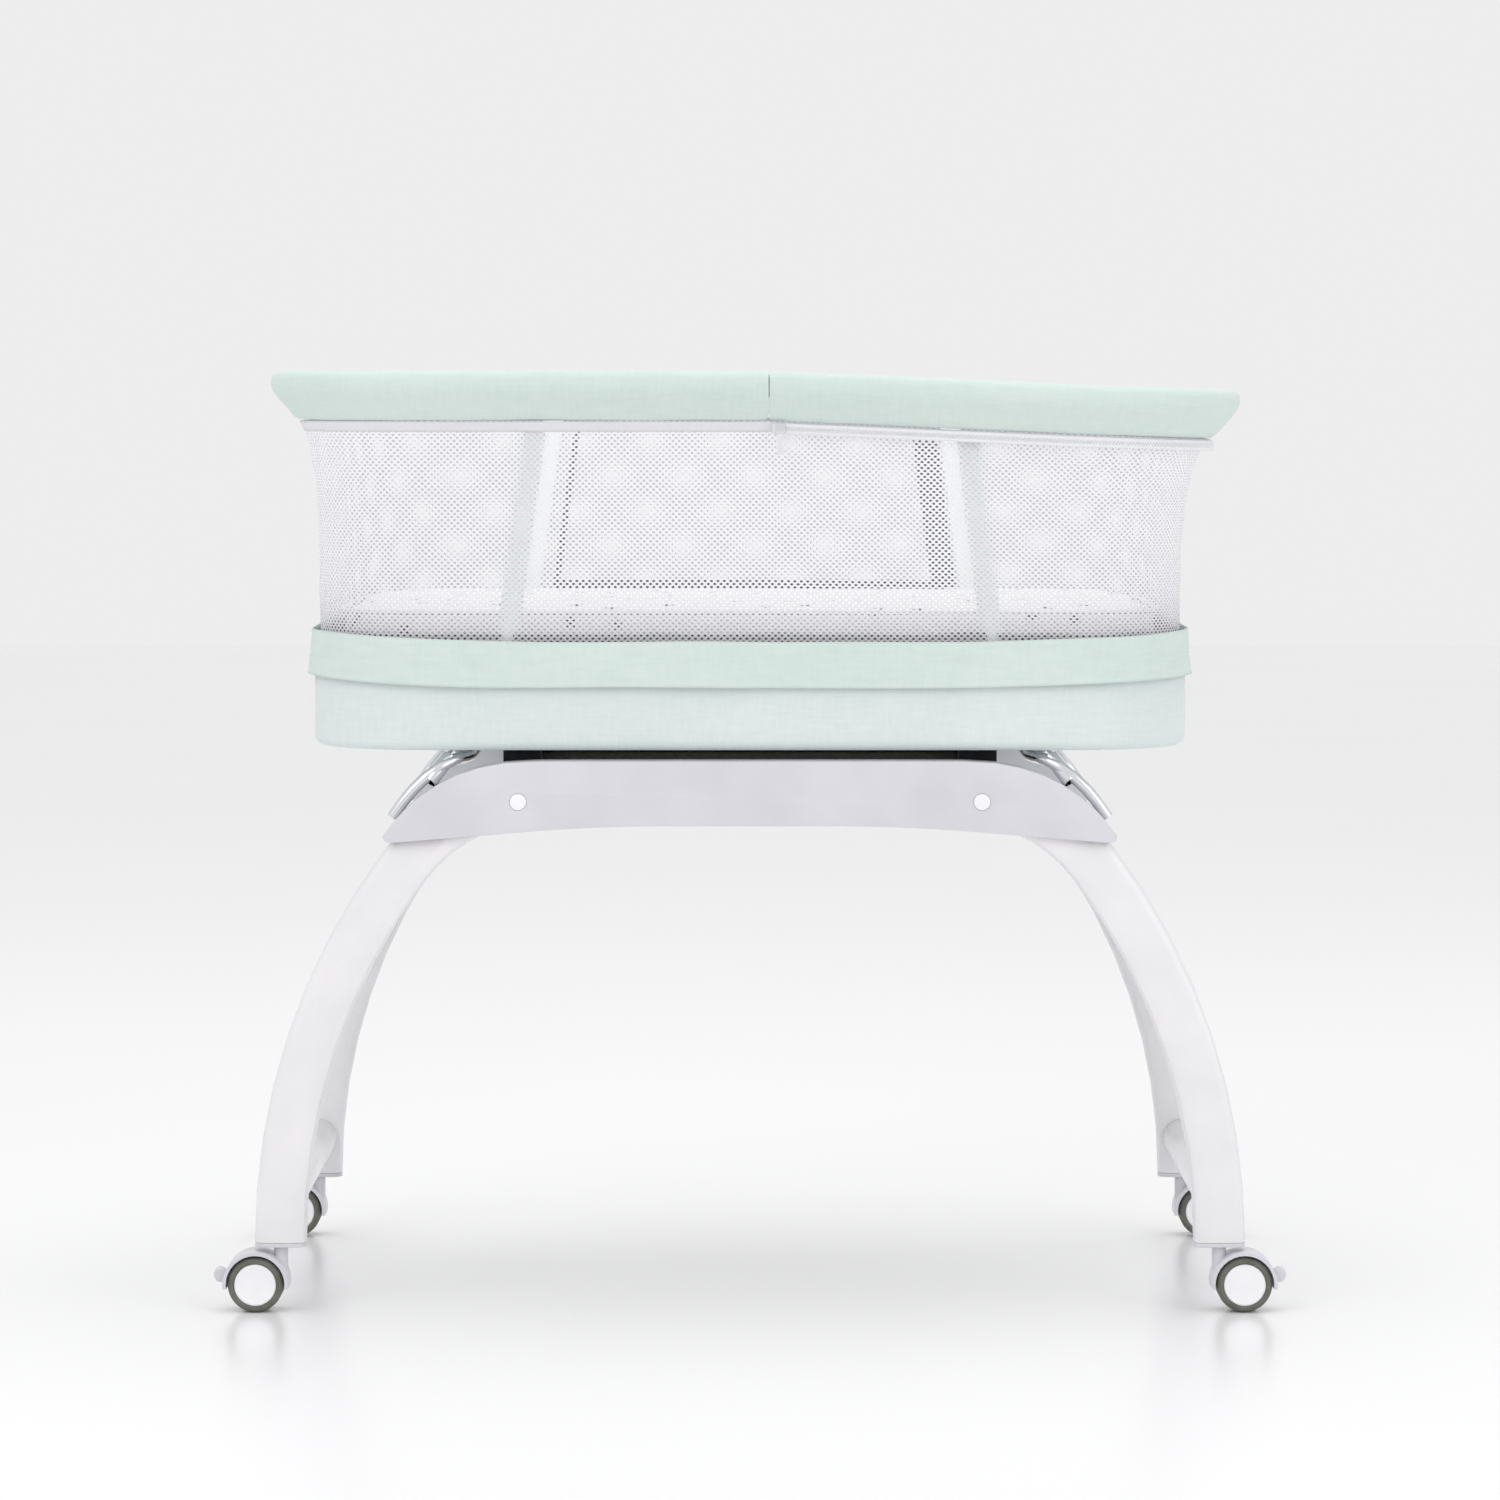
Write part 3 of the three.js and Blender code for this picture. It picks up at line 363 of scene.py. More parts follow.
def grid_piece(name, rows, material, across=False, along=False, uvs=None):
    """A sheet through rows of points; across closes each row on itself, along closes the rows."""
    wide = len(rows[0])
    faces = []
    for i in range(len(rows) if along else len(rows) - 1):
        for j in range(wide if across else wide - 1):
            low, high = i * wide, ((i + 1) % len(rows)) * wide
            k = (j + 1) % wide
            faces.append((low + j, low + k, high + k, high + j))
    flat = [p for row in rows for p in row]
    flat_uvs = [uv for row in uvs for uv in row] if uvs else None
    return new_piece(name, flat, faces, material, uvs=flat_uvs)


def add_modifier(piece, kind, **settings):
    modifier = piece.modifiers.new(kind.lower(), kind)
    for key, value in settings.items():
        setattr(modifier, key, value)
    return modifier


def apply_modifiers(piece):
    """Turns the piece's modifiers into its mesh."""
    graph = bpy.context.evaluated_depsgraph_get()
    done = bpy.data.meshes.new_from_object(piece.evaluated_get(graph), depsgraph=graph)
    piece.modifiers.clear()
    piece.data = done


def join_pieces(name, pieces):
    """One mesh from several, each keeping its own material."""
    built = bmesh.new()
    mesh = bpy.data.meshes.new(name)
    for piece in pieces:
        start = len(built.faces)
        built.from_mesh(piece.data)
        slot_of = {}
        for index, material in enumerate(piece.data.materials):
            if material.name not in mesh.materials:
                mesh.materials.append(material)
            slot_of[index] = mesh.materials.find(material.name)
        built.faces.ensure_lookup_table()
        for face in built.faces[start:]:
            face.material_index = slot_of[face.material_index]
        bpy.data.objects.remove(piece)
    built.to_mesh(mesh)
    built.free()
    joined = bpy.data.objects.new(name, mesh)
    bpy.context.scene.collection.objects.link(joined)
    return joined


def finish_piece(piece, body, slot, *nodes):
    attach(piece, body)
    if nodes:
        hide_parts(*nodes)
    return piece


def lathed(name, profile, centre, material, segments=72):
    """Turns (radius, along) points in metres about a line parallel to Y through centre."""
    rows = []
    for i in range(segments):
        angle = 2 * math.pi * i / segments
        rows.append([Vector((centre[0] + r * math.cos(angle), centre[1] + a,
                             centre[2] + r * math.sin(angle)))
                     for r, a in profile])
    piece = grid_piece(name, rows, material, along=True)
    tidy = bmesh.new()
    tidy.from_mesh(piece.data)
    bmesh.ops.remove_doubles(tidy, verts=tidy.verts, dist=1e-6)
    bmesh.ops.recalc_face_normals(tidy, faces=tidy.faces)
    tidy.to_mesh(piece.data)
    tidy.free()
    piece.data.shade_smooth()
    piece.data.set_sharp_from_angle(angle=math.radians(35))
    return piece


def refined(node, body, material, slot, bevel_mm=0.8, rounds=0):
    """Stands a soft-edged, smooth-shaded copy of a rigid CAD node in for it."""
    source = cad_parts[node]
    piece = bpy.data.objects.new(node + "_finished", source.data.copy())
    bpy.context.scene.collection.objects.link(piece)
    work = bmesh.new()
    work.from_mesh(piece.data)
    bmesh.ops.remove_doubles(work, verts=work.verts, dist=2e-6)
    bmesh.ops.dissolve_limit(work, angle_limit=math.radians(0.5), verts=work.verts,
                             edges=work.edges)
    work.to_mesh(piece.data)
    work.free()
    piece.data.materials.clear()
    piece.data.materials.append(material)
    if bevel_mm:
        add_modifier(piece, "BEVEL", width=bevel_mm * MM, segments=3, limit_method="ANGLE",
                     angle_limit=math.radians(38), use_clamp_overlap=True)
    if rounds:
        add_modifier(piece, "SUBSURF", levels=rounds, render_levels=rounds)
    apply_modifiers(piece)
    piece.data.shade_smooth()
    piece.data.set_sharp_from_angle(angle=math.radians(50))
    return finish_piece(piece, body, slot, node)


# ------------------------------------------------------------------ the basket's plan
net_low, net_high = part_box("head_net")
tray_low, tray_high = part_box("tray_cover")
rim_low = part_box("head_rim_cover")[0]
foot_low, foot_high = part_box("foot_rim_cover")

TRAY_CORNER = 0.118
NET_INSET = 0.006
NET_FLARE = 0.019
half_x = tray_high.x - NET_INSET
half_y = tray_high.y - NET_INSET
corner = TRAY_CORNER - NET_INSET
straight_x = half_x - corner
straight_y = half_y - corner
quarter = corner * math.pi / 2
HALF_ROUND = 2 * straight_x + 2 * quarter + 2 * straight_y  # front middle to rear middle
seam_x = foot_low.x - 0.0008
foot_slope = 0.020 / (tray_high.x + NET_FLARE)
foot_reach = foot_high.x + rim_low.x  # the rim reaches this much farther at the foot end


def around(s):
    """A point on the net's foot line, s metres from the front middle, and its outward direction."""
    s = (s + HALF_ROUND) % (2 * HALF_ROUND) - HALF_ROUND
    way = 1 if s >= 0 else -1
    s = abs(s)
    if s <= straight_x:
        place_at = (s, -half_y, 0, -1)
    elif s <= straight_x + quarter:
        a = (s - straight_x) / corner
        place_at = (straight_x + corner * math.sin(a), -straight_y - corner * math.cos(a),
                    math.sin(a), -math.cos(a))
    elif s <= straight_x + quarter + 2 * straight_y:
        place_at = (half_x, s - straight_x - quarter - straight_y, 1, 0)
    elif s <= HALF_ROUND - straight_x:
        a = (s - straight_x - quarter - 2 * straight_y) / corner
        place_at = (straight_x + corner * math.cos(a), straight_y + corner * math.sin(a),
                    math.cos(a), math.sin(a))
    else:
        place_at = (HALF_ROUND - s, half_y, 0, 1)
    x, y, nx, ny = place_at
    return way * x, y, way * nx, ny


def fall(x):
    """How far the rim has dropped at x, towards the foot end."""
    return max(0.0, x - seam_x) * foot_slope


# How the net leans out: share of its height, share of its flare.
NET_LINE = ((0, 0), (0.45, 0.05), (0.72, 0.21), (0.88, 0.5), (0.95, 0.72), (1, 1))


def flare(share):
    return float(np.interp(share, [p[0] for p in NET_LINE], [p[1] for p in NET_LINE])) * NET_FLARE


def drawn_out(x, lean):
    """Moves x towards the foot end, by the share that the net leans at its height."""
    return x + foot_reach * lean * max(0.0, x - seam_x) / (-rim_low.x - seam_x)


def on_net(s, share, out=0.0, drop=0.0):
    """A point of the net wall; out moves it off the net, drop lowers it."""
    x, y, nx, ny = around(s)
    height = net_high.z - fall(x) - net_low.z
    reach = flare(share) + out
    across = drawn_out(x + nx * reach, flare(share) / NET_FLARE)
    return Vector((across, y + ny * reach, net_low.z + height * share - drop))


POST_FOOT = 0.232
POST_HEAD = 0.203


def post_line(share):
    return POST_FOOT + (POST_HEAD - POST_FOOT) * share


def wrinkle(x, y, z, size, seed=0.0):
    return noise.noise(Vector((x / size + seed, y / size, z / size)))


# ------------------------------------------------------------------ soft goods
NET_ROWS = 18
NET_COLUMNS = 96


def net_panel(name, start, end, body_node):
    """A single curved sheet of net; start and end give its edges at each height."""
    rows, uvs = [], []
    for i in range(NET_ROWS + 1):
        share = i / NET_ROWS
        s0, s1 = start(share), end(share)
        row, row_uv = [], []
        for j in range(NET_COLUMNS + 1):
            s = s0 + (s1 - s0) * j / NET_COLUMNS
            slack = 0.0022 * wrinkle(s, share, 0, 0.16, 3.1) * math.sin(math.pi * share)
            row.append(on_net(s, share, slack))
            row_uv.append((s, (net_high.z - net_low.z) * share * 1.02))
        rows.append(row)
        uvs.append(row_uv)
    piece = grid_piece(name, rows, WHITE_NET, uvs=uvs)
    finish_piece(piece, "bassinet", "white_net", body_node)
    wide = abs(end(0.5) - start(0.5))
    return piece


def make_nets():
    net_panel("front_net_sheet", lambda t: -post_line(t), lambda t: post_line(t), "front_net")
    net_panel("foot_net_sheet", lambda t: post_line(t), lambda t: HALF_ROUND - post_line(t),
              "foot_net")
    net_panel("rear_net_sheet", lambda t: HALF_ROUND - post_line(t),
              lambda t: HALF_ROUND + post_line(t), "rear_net")
    net_panel("head_net_sheet", lambda t: -(HALF_ROUND - post_line(t)), lambda t: -post_line(t),
              "head_net")


def strip(name, centre, width, out, material, low=0.0, high=1.0, steps=30, thick=0.0012):
    """A tape that runs up the net wall along centre(share), width wide, out metres off the net."""
    rows, uvs = [], []
    for i in range(steps + 1):
        share = low + (high - low) * i / steps
        s = centre(share)
        rows.append([on_net(s + width * (j / 4 - 0.5), share, out) for j in range(5)])
        uvs.append([(width * j / 4, share * 0.214) for j in range(5)])
    piece = grid_piece(name, rows, material, uvs=uvs)
    add_modifier(piece, "SOLIDIFY", thickness=thick, offset=0)
    apply_modifiers(piece)
    return piece


SLEEVE_WIDTH = 0.021
SLEEVE_DEPTH = 0.008


SLEEVE_ROWS = 40
SLEEVE_SIDES = 24
SLEEVE_TOP = 0.985  # share of the net's height
SLEEVE_SQUARENESS = 0.8  # 1 is an oval section


def make_posts():
    corners = {("front", "left"): lambda t: -post_line(t),
               ("front", "right"): lambda t: post_line(t),
               ("rear", "right"): lambda t: HALF_ROUND - post_line(t),
               ("rear", "left"): lambda t: HALF_ROUND + post_line(t)}
    for (side, end), line in corners.items():
        rows, uvs = [], []
        for i in range(SLEEVE_ROWS + 1):
            share = i / SLEEVE_ROWS * SLEEVE_TOP
            ring, ring_uv = [], []
            for j in range(SLEEVE_SIDES):
                a = 2 * math.pi * j / SLEEVE_SIDES
                puff = 1 + 0.08 * wrinkle(share * 3, j, 0, 0.9, 7 + len(side + end))
                sideways = math.copysign(abs(math.cos(a)) ** SLEEVE_SQUARENESS, math.cos(a))
                s = line(share) + SLEEVE_WIDTH / 2 * sideways * puff
                ring.append(on_net(s, share, -0.0055 + SLEEVE_DEPTH / 2 * math.sin(a) * puff))
                ring_uv.append((j * 0.0025, share * 0.214))
            rows.append(ring)
            uvs.append(ring_uv)
        # The sleeves take the paler painted-light mint instead of the plain mint fabric.
        sleeve = grid_piece(f"{side}_{end}_post_sleeve", rows, PAINTED_LIGHT_MINT, across=True, uvs=uvs)
        finish_piece(sleeve, "bassinet", "plain_mint", f"{side}_{end}_post")


# Painted shadow: dark strips just inside the rear net round its window, wider on one side than the other.
SHADOW_STRIP_WIDE = 0.025
SHADOW_STRIP_NARROW = 0.006
SHADOW_STRIP_DEPTH = -0.003  # inside the net
SHADOW_STRIP_FOOT = 0.165  # shares of the net's height
SHADOW_STRIP_SPAN = (0.19, 0.97)


def make_rear_window_painted_shadow():
    """Dark grey strips just inside the rear net that frame its window, wider on one side than the other:
    painted shadow.
    """
    inner = 0.026
    edges = [
        strip("rear_shadow_strip_a", lambda t: HALF_ROUND - post_line(t) + inner,
              SHADOW_STRIP_WIDE, SHADOW_STRIP_DEPTH, PAINTED_SHADOW_GREY, *SHADOW_STRIP_SPAN),
        strip("rear_shadow_strip_b", lambda t: HALF_ROUND + post_line(t) - inner,
              SHADOW_STRIP_NARROW, SHADOW_STRIP_DEPTH, PAINTED_SHADOW_GREY, *SHADOW_STRIP_SPAN),
    ]
    rows, uvs = [], []
    reach = POST_FOOT - 0.03
    for j in range(61):
        s = HALF_ROUND - reach + 2 * reach * j / 60
        rows.append([on_net(s, SHADOW_STRIP_FOOT + 0.055 * k / 3, SHADOW_STRIP_DEPTH) for k in range(4)])
        uvs.append([(s, 0.004 * k) for k in range(4)])
    foot = grid_piece("rear_shadow_strip_c", rows, PAINTED_SHADOW_GREY, uvs=uvs)
    add_modifier(foot, "SOLIDIFY", thickness=0.0012, offset=0)
    apply_modifiers(foot)
    shadow_sheet = join_pieces("rear_window_painted_shadow", edges + [foot])
    finish_piece(shadow_sheet, "bassinet", "white_net")


# The padded rim's section, out from the net's top line and up from its seat, in mm.
RIM_SECTION = ((-3.0, 3), (0.5, 0.8), (6, 4), (14, 13.5), (22, 23), (26.4, 29.5), (28, 35.5),
               (27.2, 41.5),
               (23.5, 45.8), (17, 47.4), (9, 47.6), (2, 46.6), (-2.4, 42.5), (-3.4, 30), (-3.3, 15))


def smooth_loop(points, per_span=3):
    """More points along a closed Catmull-Rom curve."""
    found = []
    count = len(points)
    for i in range(count):
        p0, p1, p2, p3 = (np.array(points[(i + k - 1) % count], float) for k in range(4))
        for k in range(per_span):
            t = k / per_span
            found.append(0.5 * (2 * p1 + (p2 - p0) * t + (2 * p0 - 5 * p1 + 4 * p2 - p3) * t ** 2
                                + (3 * p1 - p0 - 3 * p2 + p3) * t ** 3))
    return found


def rim_half(name, start, end, node):
    """A padded sleeve over half of the rim, drawn in a little where it meets the other half."""
    section = smooth_loop(RIM_SECTION)
    middle = np.mean(section, axis=0)
    seat = rim_low.z - 0.0005
    steps = 260
    rows, uvs = [], []
    girth = np.cumsum([0] + [float(np.linalg.norm(b - a)) for a,
                             b in zip(section, section[1:])]) * MM
    for i in range(steps + 1):
        share = i / steps
        s = start + (end - start) * share
        edge = min(share, 1 - share) * abs(end - start)
        tuck = 1 - 0.09 * math.exp(-edge / 0.004)
        x, y, nx, ny = around(s)
        row = []
        for (u, v), g in zip(section, girth):
            u, v = middle[0] + (u - middle[0]) * tuck, middle[1] + (v - middle[1]) * tuck
            soft = 0.0011 * wrinkle(s, g * 3, 0, 0.09, 5) + 0.0006 * wrinkle(s, g * 8, 0, 0.022, 9)
            near_seam = max(0, 1 - abs(g - 0.045) / 0.03)
            slack = max(0.0, wrinkle(s, 0, 0, 0.12, 2))
            pull = 0.0016 * math.sin(s / 0.021 + g * 60) * near_seam * slack
            lift = np.array([u, v]) - middle
            lift = lift / max(np.linalg.norm(lift), 1e-6) * (soft + pull)
            reach = NET_FLARE + u * MM + lift[0]
            row.append(Vector((drawn_out(x + nx * reach, 1), y + ny * reach,
                               seat + v * MM + lift[1] - fall(x))))
        rows.append(row)
        uvs.append([(s, g) for g in girth])
    piece = grid_piece(name, rows, PLAIN_MINT, across=True, uvs=uvs)
    finish_piece(piece, "bassinet", "plain_mint", node)


def make_rim():
    seam_back = 2 * HALF_ROUND - seam_x
    gap = 0.0004
    rim_half("foot_rim_padding", seam_x + gap, HALF_ROUND - seam_x - gap, "foot_rim_cover")
    rim_half("head_rim_padding", HALF_ROUND - seam_x + gap, seam_back + 2 * seam_x - gap,
             "head_rim_cover")


def ring_band(name, low, high, profile, material, steps=420, thick=0.0):
    """A band round the plan; profile(share, s) gives its height and how far out it stands."""
    rows, uvs = [], []
    levels = 14
    for i in range(steps):
        s = -HALF_ROUND + 2 * HALF_ROUND * i / steps
        x, y, nx, ny = around(s)
        row = []
        for j in range(levels + 1):
            share = j / levels
            out, lift = profile(share, s)
            row.append(Vector((x + nx * out, y + ny * out, low + (high - low) * share + lift)))
        rows.append(row)
        uvs.append([(s, (high - low) * j / levels) for j in range(levels + 1)])
    piece = grid_piece(name, rows, material, along=True, uvs=uvs)
    if thick:
        add_modifier(piece, "SOLIDIFY", thickness=thick, offset=0)
        apply_modifiers(piece)
    return piece


def make_net_hem():
    """The doubled white edge of the net, just under the rim."""
    tall = 0.011
    rows, uvs = [], []
    steps = 420
    for i in range(steps):
        s = -HALF_ROUND + 2 * HALF_ROUND * i / steps
        rows.append([on_net(s, 1 - 0.045 * (1 - j / 4), 0.0005) for j in range(5)])
        uvs.append([(s, tall * j / 4) for j in range(5)])
    hem = grid_piece("net_hem", rows, HEM_TAPE, along=True, uvs=uvs)
    add_modifier(hem, "SOLIDIFY", thickness=0.0005, offset=0)
    apply_modifiers(hem)
    finish_piece(hem, "bassinet", "white_tape")


def make_net_foot_painted_shadow():
    """A dark grey strip just inside the net's foot, just showing above the cuff: painted shadow in the gap
    between the mattress and the cuff.
    """
    rows, uvs = [], []
    steps = 420
    tall = 0.012
    for i in range(steps):
        s = -HALF_ROUND + 2 * HALF_ROUND * i / steps
        edge = 0.0022 * wrinkle(s, 0, 0, 0.06, 31)
        rows.append([on_net(s, 0,
                            -0.0022) + Vector((0, 0, (tall + edge) * j / 3)) for j in range(4)])
        uvs.append([(s, tall * j / 3) for j in range(4)])
    shadow_sheet = grid_piece("net_foot_painted_shadow", rows, PAINTED_SHADOW_GREY, along=True, uvs=uvs)
    add_modifier(shadow_sheet, "SOLIDIFY", thickness=0.0008, offset=0)
    apply_modifiers(shadow_sheet)
    finish_piece(shadow_sheet, "bassinet", "white_net")


# The cuff hangs a little lower than its CAD node, and rises towards the two ends.
CUFF_DROP = 0.002
CUFF_RISE = 0.009


def make_cuff():
    low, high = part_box("tray_cuff")

    def hang(share, s):
        sag = 0.0015 * wrinkle(s, 0, 0, 0.14, 1) + 0.0011 * wrinkle(s, share * 4, 0, 0.05, 4)
        crease = 0.0012 * wrinkle(s + share * 0.02, share * 2, 0, 0.018,
                                  8) * (1 - share) * share * 4
        proud = 0.0022 + 0.0042 * (1 - share) ** 1.4
        hem = 0.0008 * math.exp(-((share - 0.13) / 0.03) ** 2) * -1
        wave = (0.0026 * wrinkle(s, 0, 0, 0.2, 6) * (1 - share)
                + 0.0012 * wrinkle(s, 0, 0, 0.11, 12) * share)
        x = around(s)[0]
        rise = CUFF_RISE * max(0.0, (abs(x) - 0.2) / (tray_high.x - 0.2)) ** 1.6
        return NET_INSET + proud + sag + crease + hem, wave + rise

    cuff = ring_band("cuff_band", low.z - CUFF_DROP, high.z - CUFF_RISE, hang, PLAIN_MINT,
                     steps=520, thick=0.0014)
    finish_piece(cuff, "bassinet", "plain_mint", "tray_cuff")


def make_tray():
    """The tray's fitted cover: walls, a rolled bottom edge and the floor."""
    edge = 0.010
    bottom = tray_low.z
    levels = [(-edge * (1 - math.sin(a)), edge * (1 - math.cos(a)))
              for a in (math.radians(d) for d in range(0, 91, 15))]
    levels += [(0.0, edge + (tray_high.z - bottom - edge) * k / 8) for k in range(1, 9)]
    inward = [(-edge - 0.09, 0.0), (-edge - 0.045, 0.0), (-edge - 0.012, 0.0)]
    rows, uvs = [], []
    steps = 420
    for i in range(steps):
        s = -HALF_ROUND + 2 * HALF_ROUND * i / steps
        x, y, nx, ny = around(s)
        row, row_uv, run = [], [], -0.15
        before = None
        for out, up in inward + levels:
            soft = 0.0007 * wrinkle(s, up * 2, 0, 0.07, 14) * min(1.0, up / 0.03)
            reach = NET_INSET + out + soft
            point = Vector((x + nx * reach, y + ny * reach, bottom + up))
            run += (point - before).length if before else 0
            before = point
            row.append(point)
            row_uv.append((s, run))
        rows.append(row)
        uvs.append(row_uv)
    walls = grid_piece("tray_walls", rows, HEATHERED_MINT, along=True, uvs=uvs)
    heart = new_piece("tray_floor", [row[0] for row in rows], [tuple(range(steps))[::-1]],
                      HEATHERED_MINT,
                      uvs=[(row[0].x, row[0].y) for row in rows])
    cover = join_pieces("tray_fabric", [walls, heart])
    work = bmesh.new()
    work.from_mesh(cover.data)
    bmesh.ops.remove_doubles(work, verts=work.verts, dist=1e-6)
    bmesh.ops.recalc_face_normals(work, faces=work.faces)
    work.to_mesh(cover.data)
    work.free()
    cover.data.shade_smooth()
    finish_piece(cover, "bassinet", "heathered_mint", "tray_cover")


def make_mattress():
    """A filled pad, blown up a little by cloth simulation, in a printed cover with piped edges."""
    low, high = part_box("mattress")
    pad = bpy.data.objects.new("mattress_pad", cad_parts["mattress"].data.copy())
    bpy.context.scene.collection.objects.link(pad)
    pad.data.materials.clear()
    pad.data.materials.append(STAR_COTTON)
    shrink = 0.003
    centre = (low + high) / 2
    for vertex in pad.data.vertices:
        for axis in range(3):
            vertex.co[axis] -= math.copysign(shrink, vertex.co[axis] - centre[axis])
    add_modifier(pad, "REMESH", mode="VOXEL", voxel_size=0.008)
    apply_modifiers(pad)
    start = np.array([v.co for v in pad.data.vertices])
    cloth = add_modifier(pad, "CLOTH")
    cloth.settings.quality = 4
    cloth.settings.mass = 0.3
    cloth.settings.use_pressure = True
    cloth.settings.uniform_pressure_force = 4
    cloth.settings.effector_weights.gravity = 0
    cloth.collision_settings.use_collision = False
    scene = bpy.context.scene
    for step in range(1, 21):
        scene.frame_set(step)
    apply_modifiers(pad)
    scene.frame_set(1)
    cap = 0.006
    for vertex, home in zip(pad.data.vertices, start):
        move = vertex.co - Vector(home)
        if move.length > cap:
            vertex.co = Vector(home) + move * (cap / move.length)
    for vertex in pad.data.vertices:
        x, y, z = vertex.co
        vertex.co.z += 0.0015 * wrinkle(x, y, 0, 0.13, 20) * (1 if z > centre.z else 0)
        for axis, limit in ((0, high.x - 0.0005), (1, high.y - 0.0005)):
            vertex.co[axis] = max(-limit, min(limit, vertex.co[axis]))
        vertex.co.z = max(vertex.co.z, low.z)
    add_modifier(pad, "SUBSURF", levels=1, render_levels=1)
    apply_modifiers(pad)
    pad.data.shade_smooth()
    finish_piece(pad, "bassinet", "printed_sheet", "mattress")

    piping = []
    thick = 0.0022
    inset = (tray_high.y - NET_INSET) - high.y + 0.004
    for i in range(360):
        s = -HALF_ROUND + 2 * HALF_ROUND * i / 360
        x, y, nx, ny = around(s)
        ring = []
        for j in range(10):
            a = 2 * math.pi * j / 10
            reach = -inset + thick * math.cos(a)
            ring.append(Vector((x + nx * reach, y + ny * reach,
                                high.z - 0.006 + thick * math.sin(a))))
        piping.append(ring)
    cord_edge = grid_piece("mattress_piping", piping, WHITE_TAPE, across=True, along=True,
                           uvs=[[(i * 0.0065, j * 0.0014) for j in range(10)] for i in range(360)])
    finish_piece(cord_edge, "bassinet", "printed_sheet")


TOOTH_MM = 2.6  # a coarser pitch than the real 1.5 mm, so that the teeth show


def make_zip():
    end = straight_x + quarter
    rows, uvs = [], []
    for i in range(121):
        s = seam_x + 0.003 + (end - seam_x - 0.003) * i / 120
        rows.append([on_net(s, 1.0, 0.0022, 0.001 + 0.010 * (1 - j / 4)) for j in range(5)])
        uvs.append([(s, 0.0025 * j) for j in range(5)])
    tape = grid_piece("zip_tape_cloth", rows, WHITE_TAPE, uvs=uvs)
    add_modifier(tape, "SOLIDIFY", thickness=0.0009, offset=0)
    apply_modifiers(tape)
    finish_piece(tape, "bassinet", "white_tape", "zip_tape")
    points, faces = [], []
    count = int((end - seam_x - 0.01) / (TOOTH_MM * MM))
    for i in range(count):
        s = seam_x + 0.006 + i * TOOTH_MM * MM
        for half, up in ((0, 0.0052), (1, 0.0068)):
            centre = on_net(s + half * TOOTH_MM * MM / 2, 1.0, 0.0036, up)
            ahead = (on_net(s + 0.001, 1.0, 0.0036, up) - on_net(s, 1.0, 0.0036, up)).normalized()
            outward = Vector((ahead.y, -ahead.x, 0)).normalized()
            first = len(points)
            for a, b, c in ((-1, -1, -1), (1, -1, -1), (1, 1, -1), (-1, 1, -1), (-0.6, -0.7, 1),
                            (0.6, -0.7, 1),
                            (0.6, 0.7, 1), (-0.6, 0.7, 1)):
                points.append(centre + ahead * a * 0.0007 + Vector((0, 0,
                                                                    1)) * b * 0.0011 + outward * c * 0.0006)
            faces += [tuple(first + k for k in quad) for quad in
                      ((3, 2, 1, 0), (4, 5, 6, 7), (0, 1, 5, 4), (1, 2, 6, 5), (2, 3, 7, 6),
                       (3, 0, 4, 7))]
    teeth = new_piece("zip_teeth", points, faces, WHITE_TAPE, smooth=False,
                      uvs=[(p.x, p.z) for p in points])
    finish_piece(teeth, "bassinet", "white_tape", "zip_tape")
    refined("zip_slider", "zip_pull", BRIGHT_TUBE, "bright_tube", bevel_mm=0.5)


# ------------------------------------------------------------------ rigid pieces
FERRULE_IN = 0.286  # distances from the middle
FERRULE_OUT = 0.304


def make_wheels():
    """Twin wheels: a soft grey tread round a white dished hub disc, on one axle."""
    for side, _ in SIDES:
        for end, _ in ENDS:
            node = f"{side}_{end}_twin_wheels"
            low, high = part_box(node)
            centre = (low + high) / 2
            radius = (high.z - low.z) / 2
            half = (high.y - low.y) / 2
            inner = half - 0.017
            tyres, hubs = [], []
            for way in (-1, 1):
                tyre = [(0.755 * radius, half - 0.0030), (0.765 * radius, half - 0.0008),
                        (0.82 * radius, half),
                        (0.90 * radius, half - 0.0006), (0.97 * radius, half - 0.0030),
                        (radius, half - 0.0065),
                        (radius, inner + 0.004), (0.97 * radius, inner + 0.001),
                        (0.85 * radius, inner),
                        (0.755 * radius, inner + 0.0004)]
                hub = [(0, half - 0.0016), (0.20 * radius, half - 0.0018),
                       (0.55 * radius, half - 0.0013),
                       (0.70 * radius, half - 0.0004), (0.748 * radius, half - 0.0012),
                       (0.752 * radius, half - 0.004),
                       (0.752 * radius, inner + 0.0006), (0.25 * radius, inner + 0.0006),
                       (0.16 * radius, 0)]
                for profile, kept, material in ((tyre, tyres, GREY_TREAD), (hub, hubs, HUB_ABS)):
                    turned = [(r, way * a) for r, a in profile]
                    if kept is tyres:
                        turned = turned + turned[:1]
                    kept.append(lathed("turned", turned, centre, material))
            body = f"{side}_{end}_wheels"
            tread = join_pieces(f"{side}_{end}_treads", tyres)
            tread.data.set_sharp_from_angle(angle=math.radians(40))
            finish_piece(tread, body, "grey_tyre", node)
            disc = join_pieces(f"{side}_{end}_hub_discs", hubs)
            disc.data.set_sharp_from_angle(angle=math.radians(40))
            finish_piece(disc, body, "moulded_white")


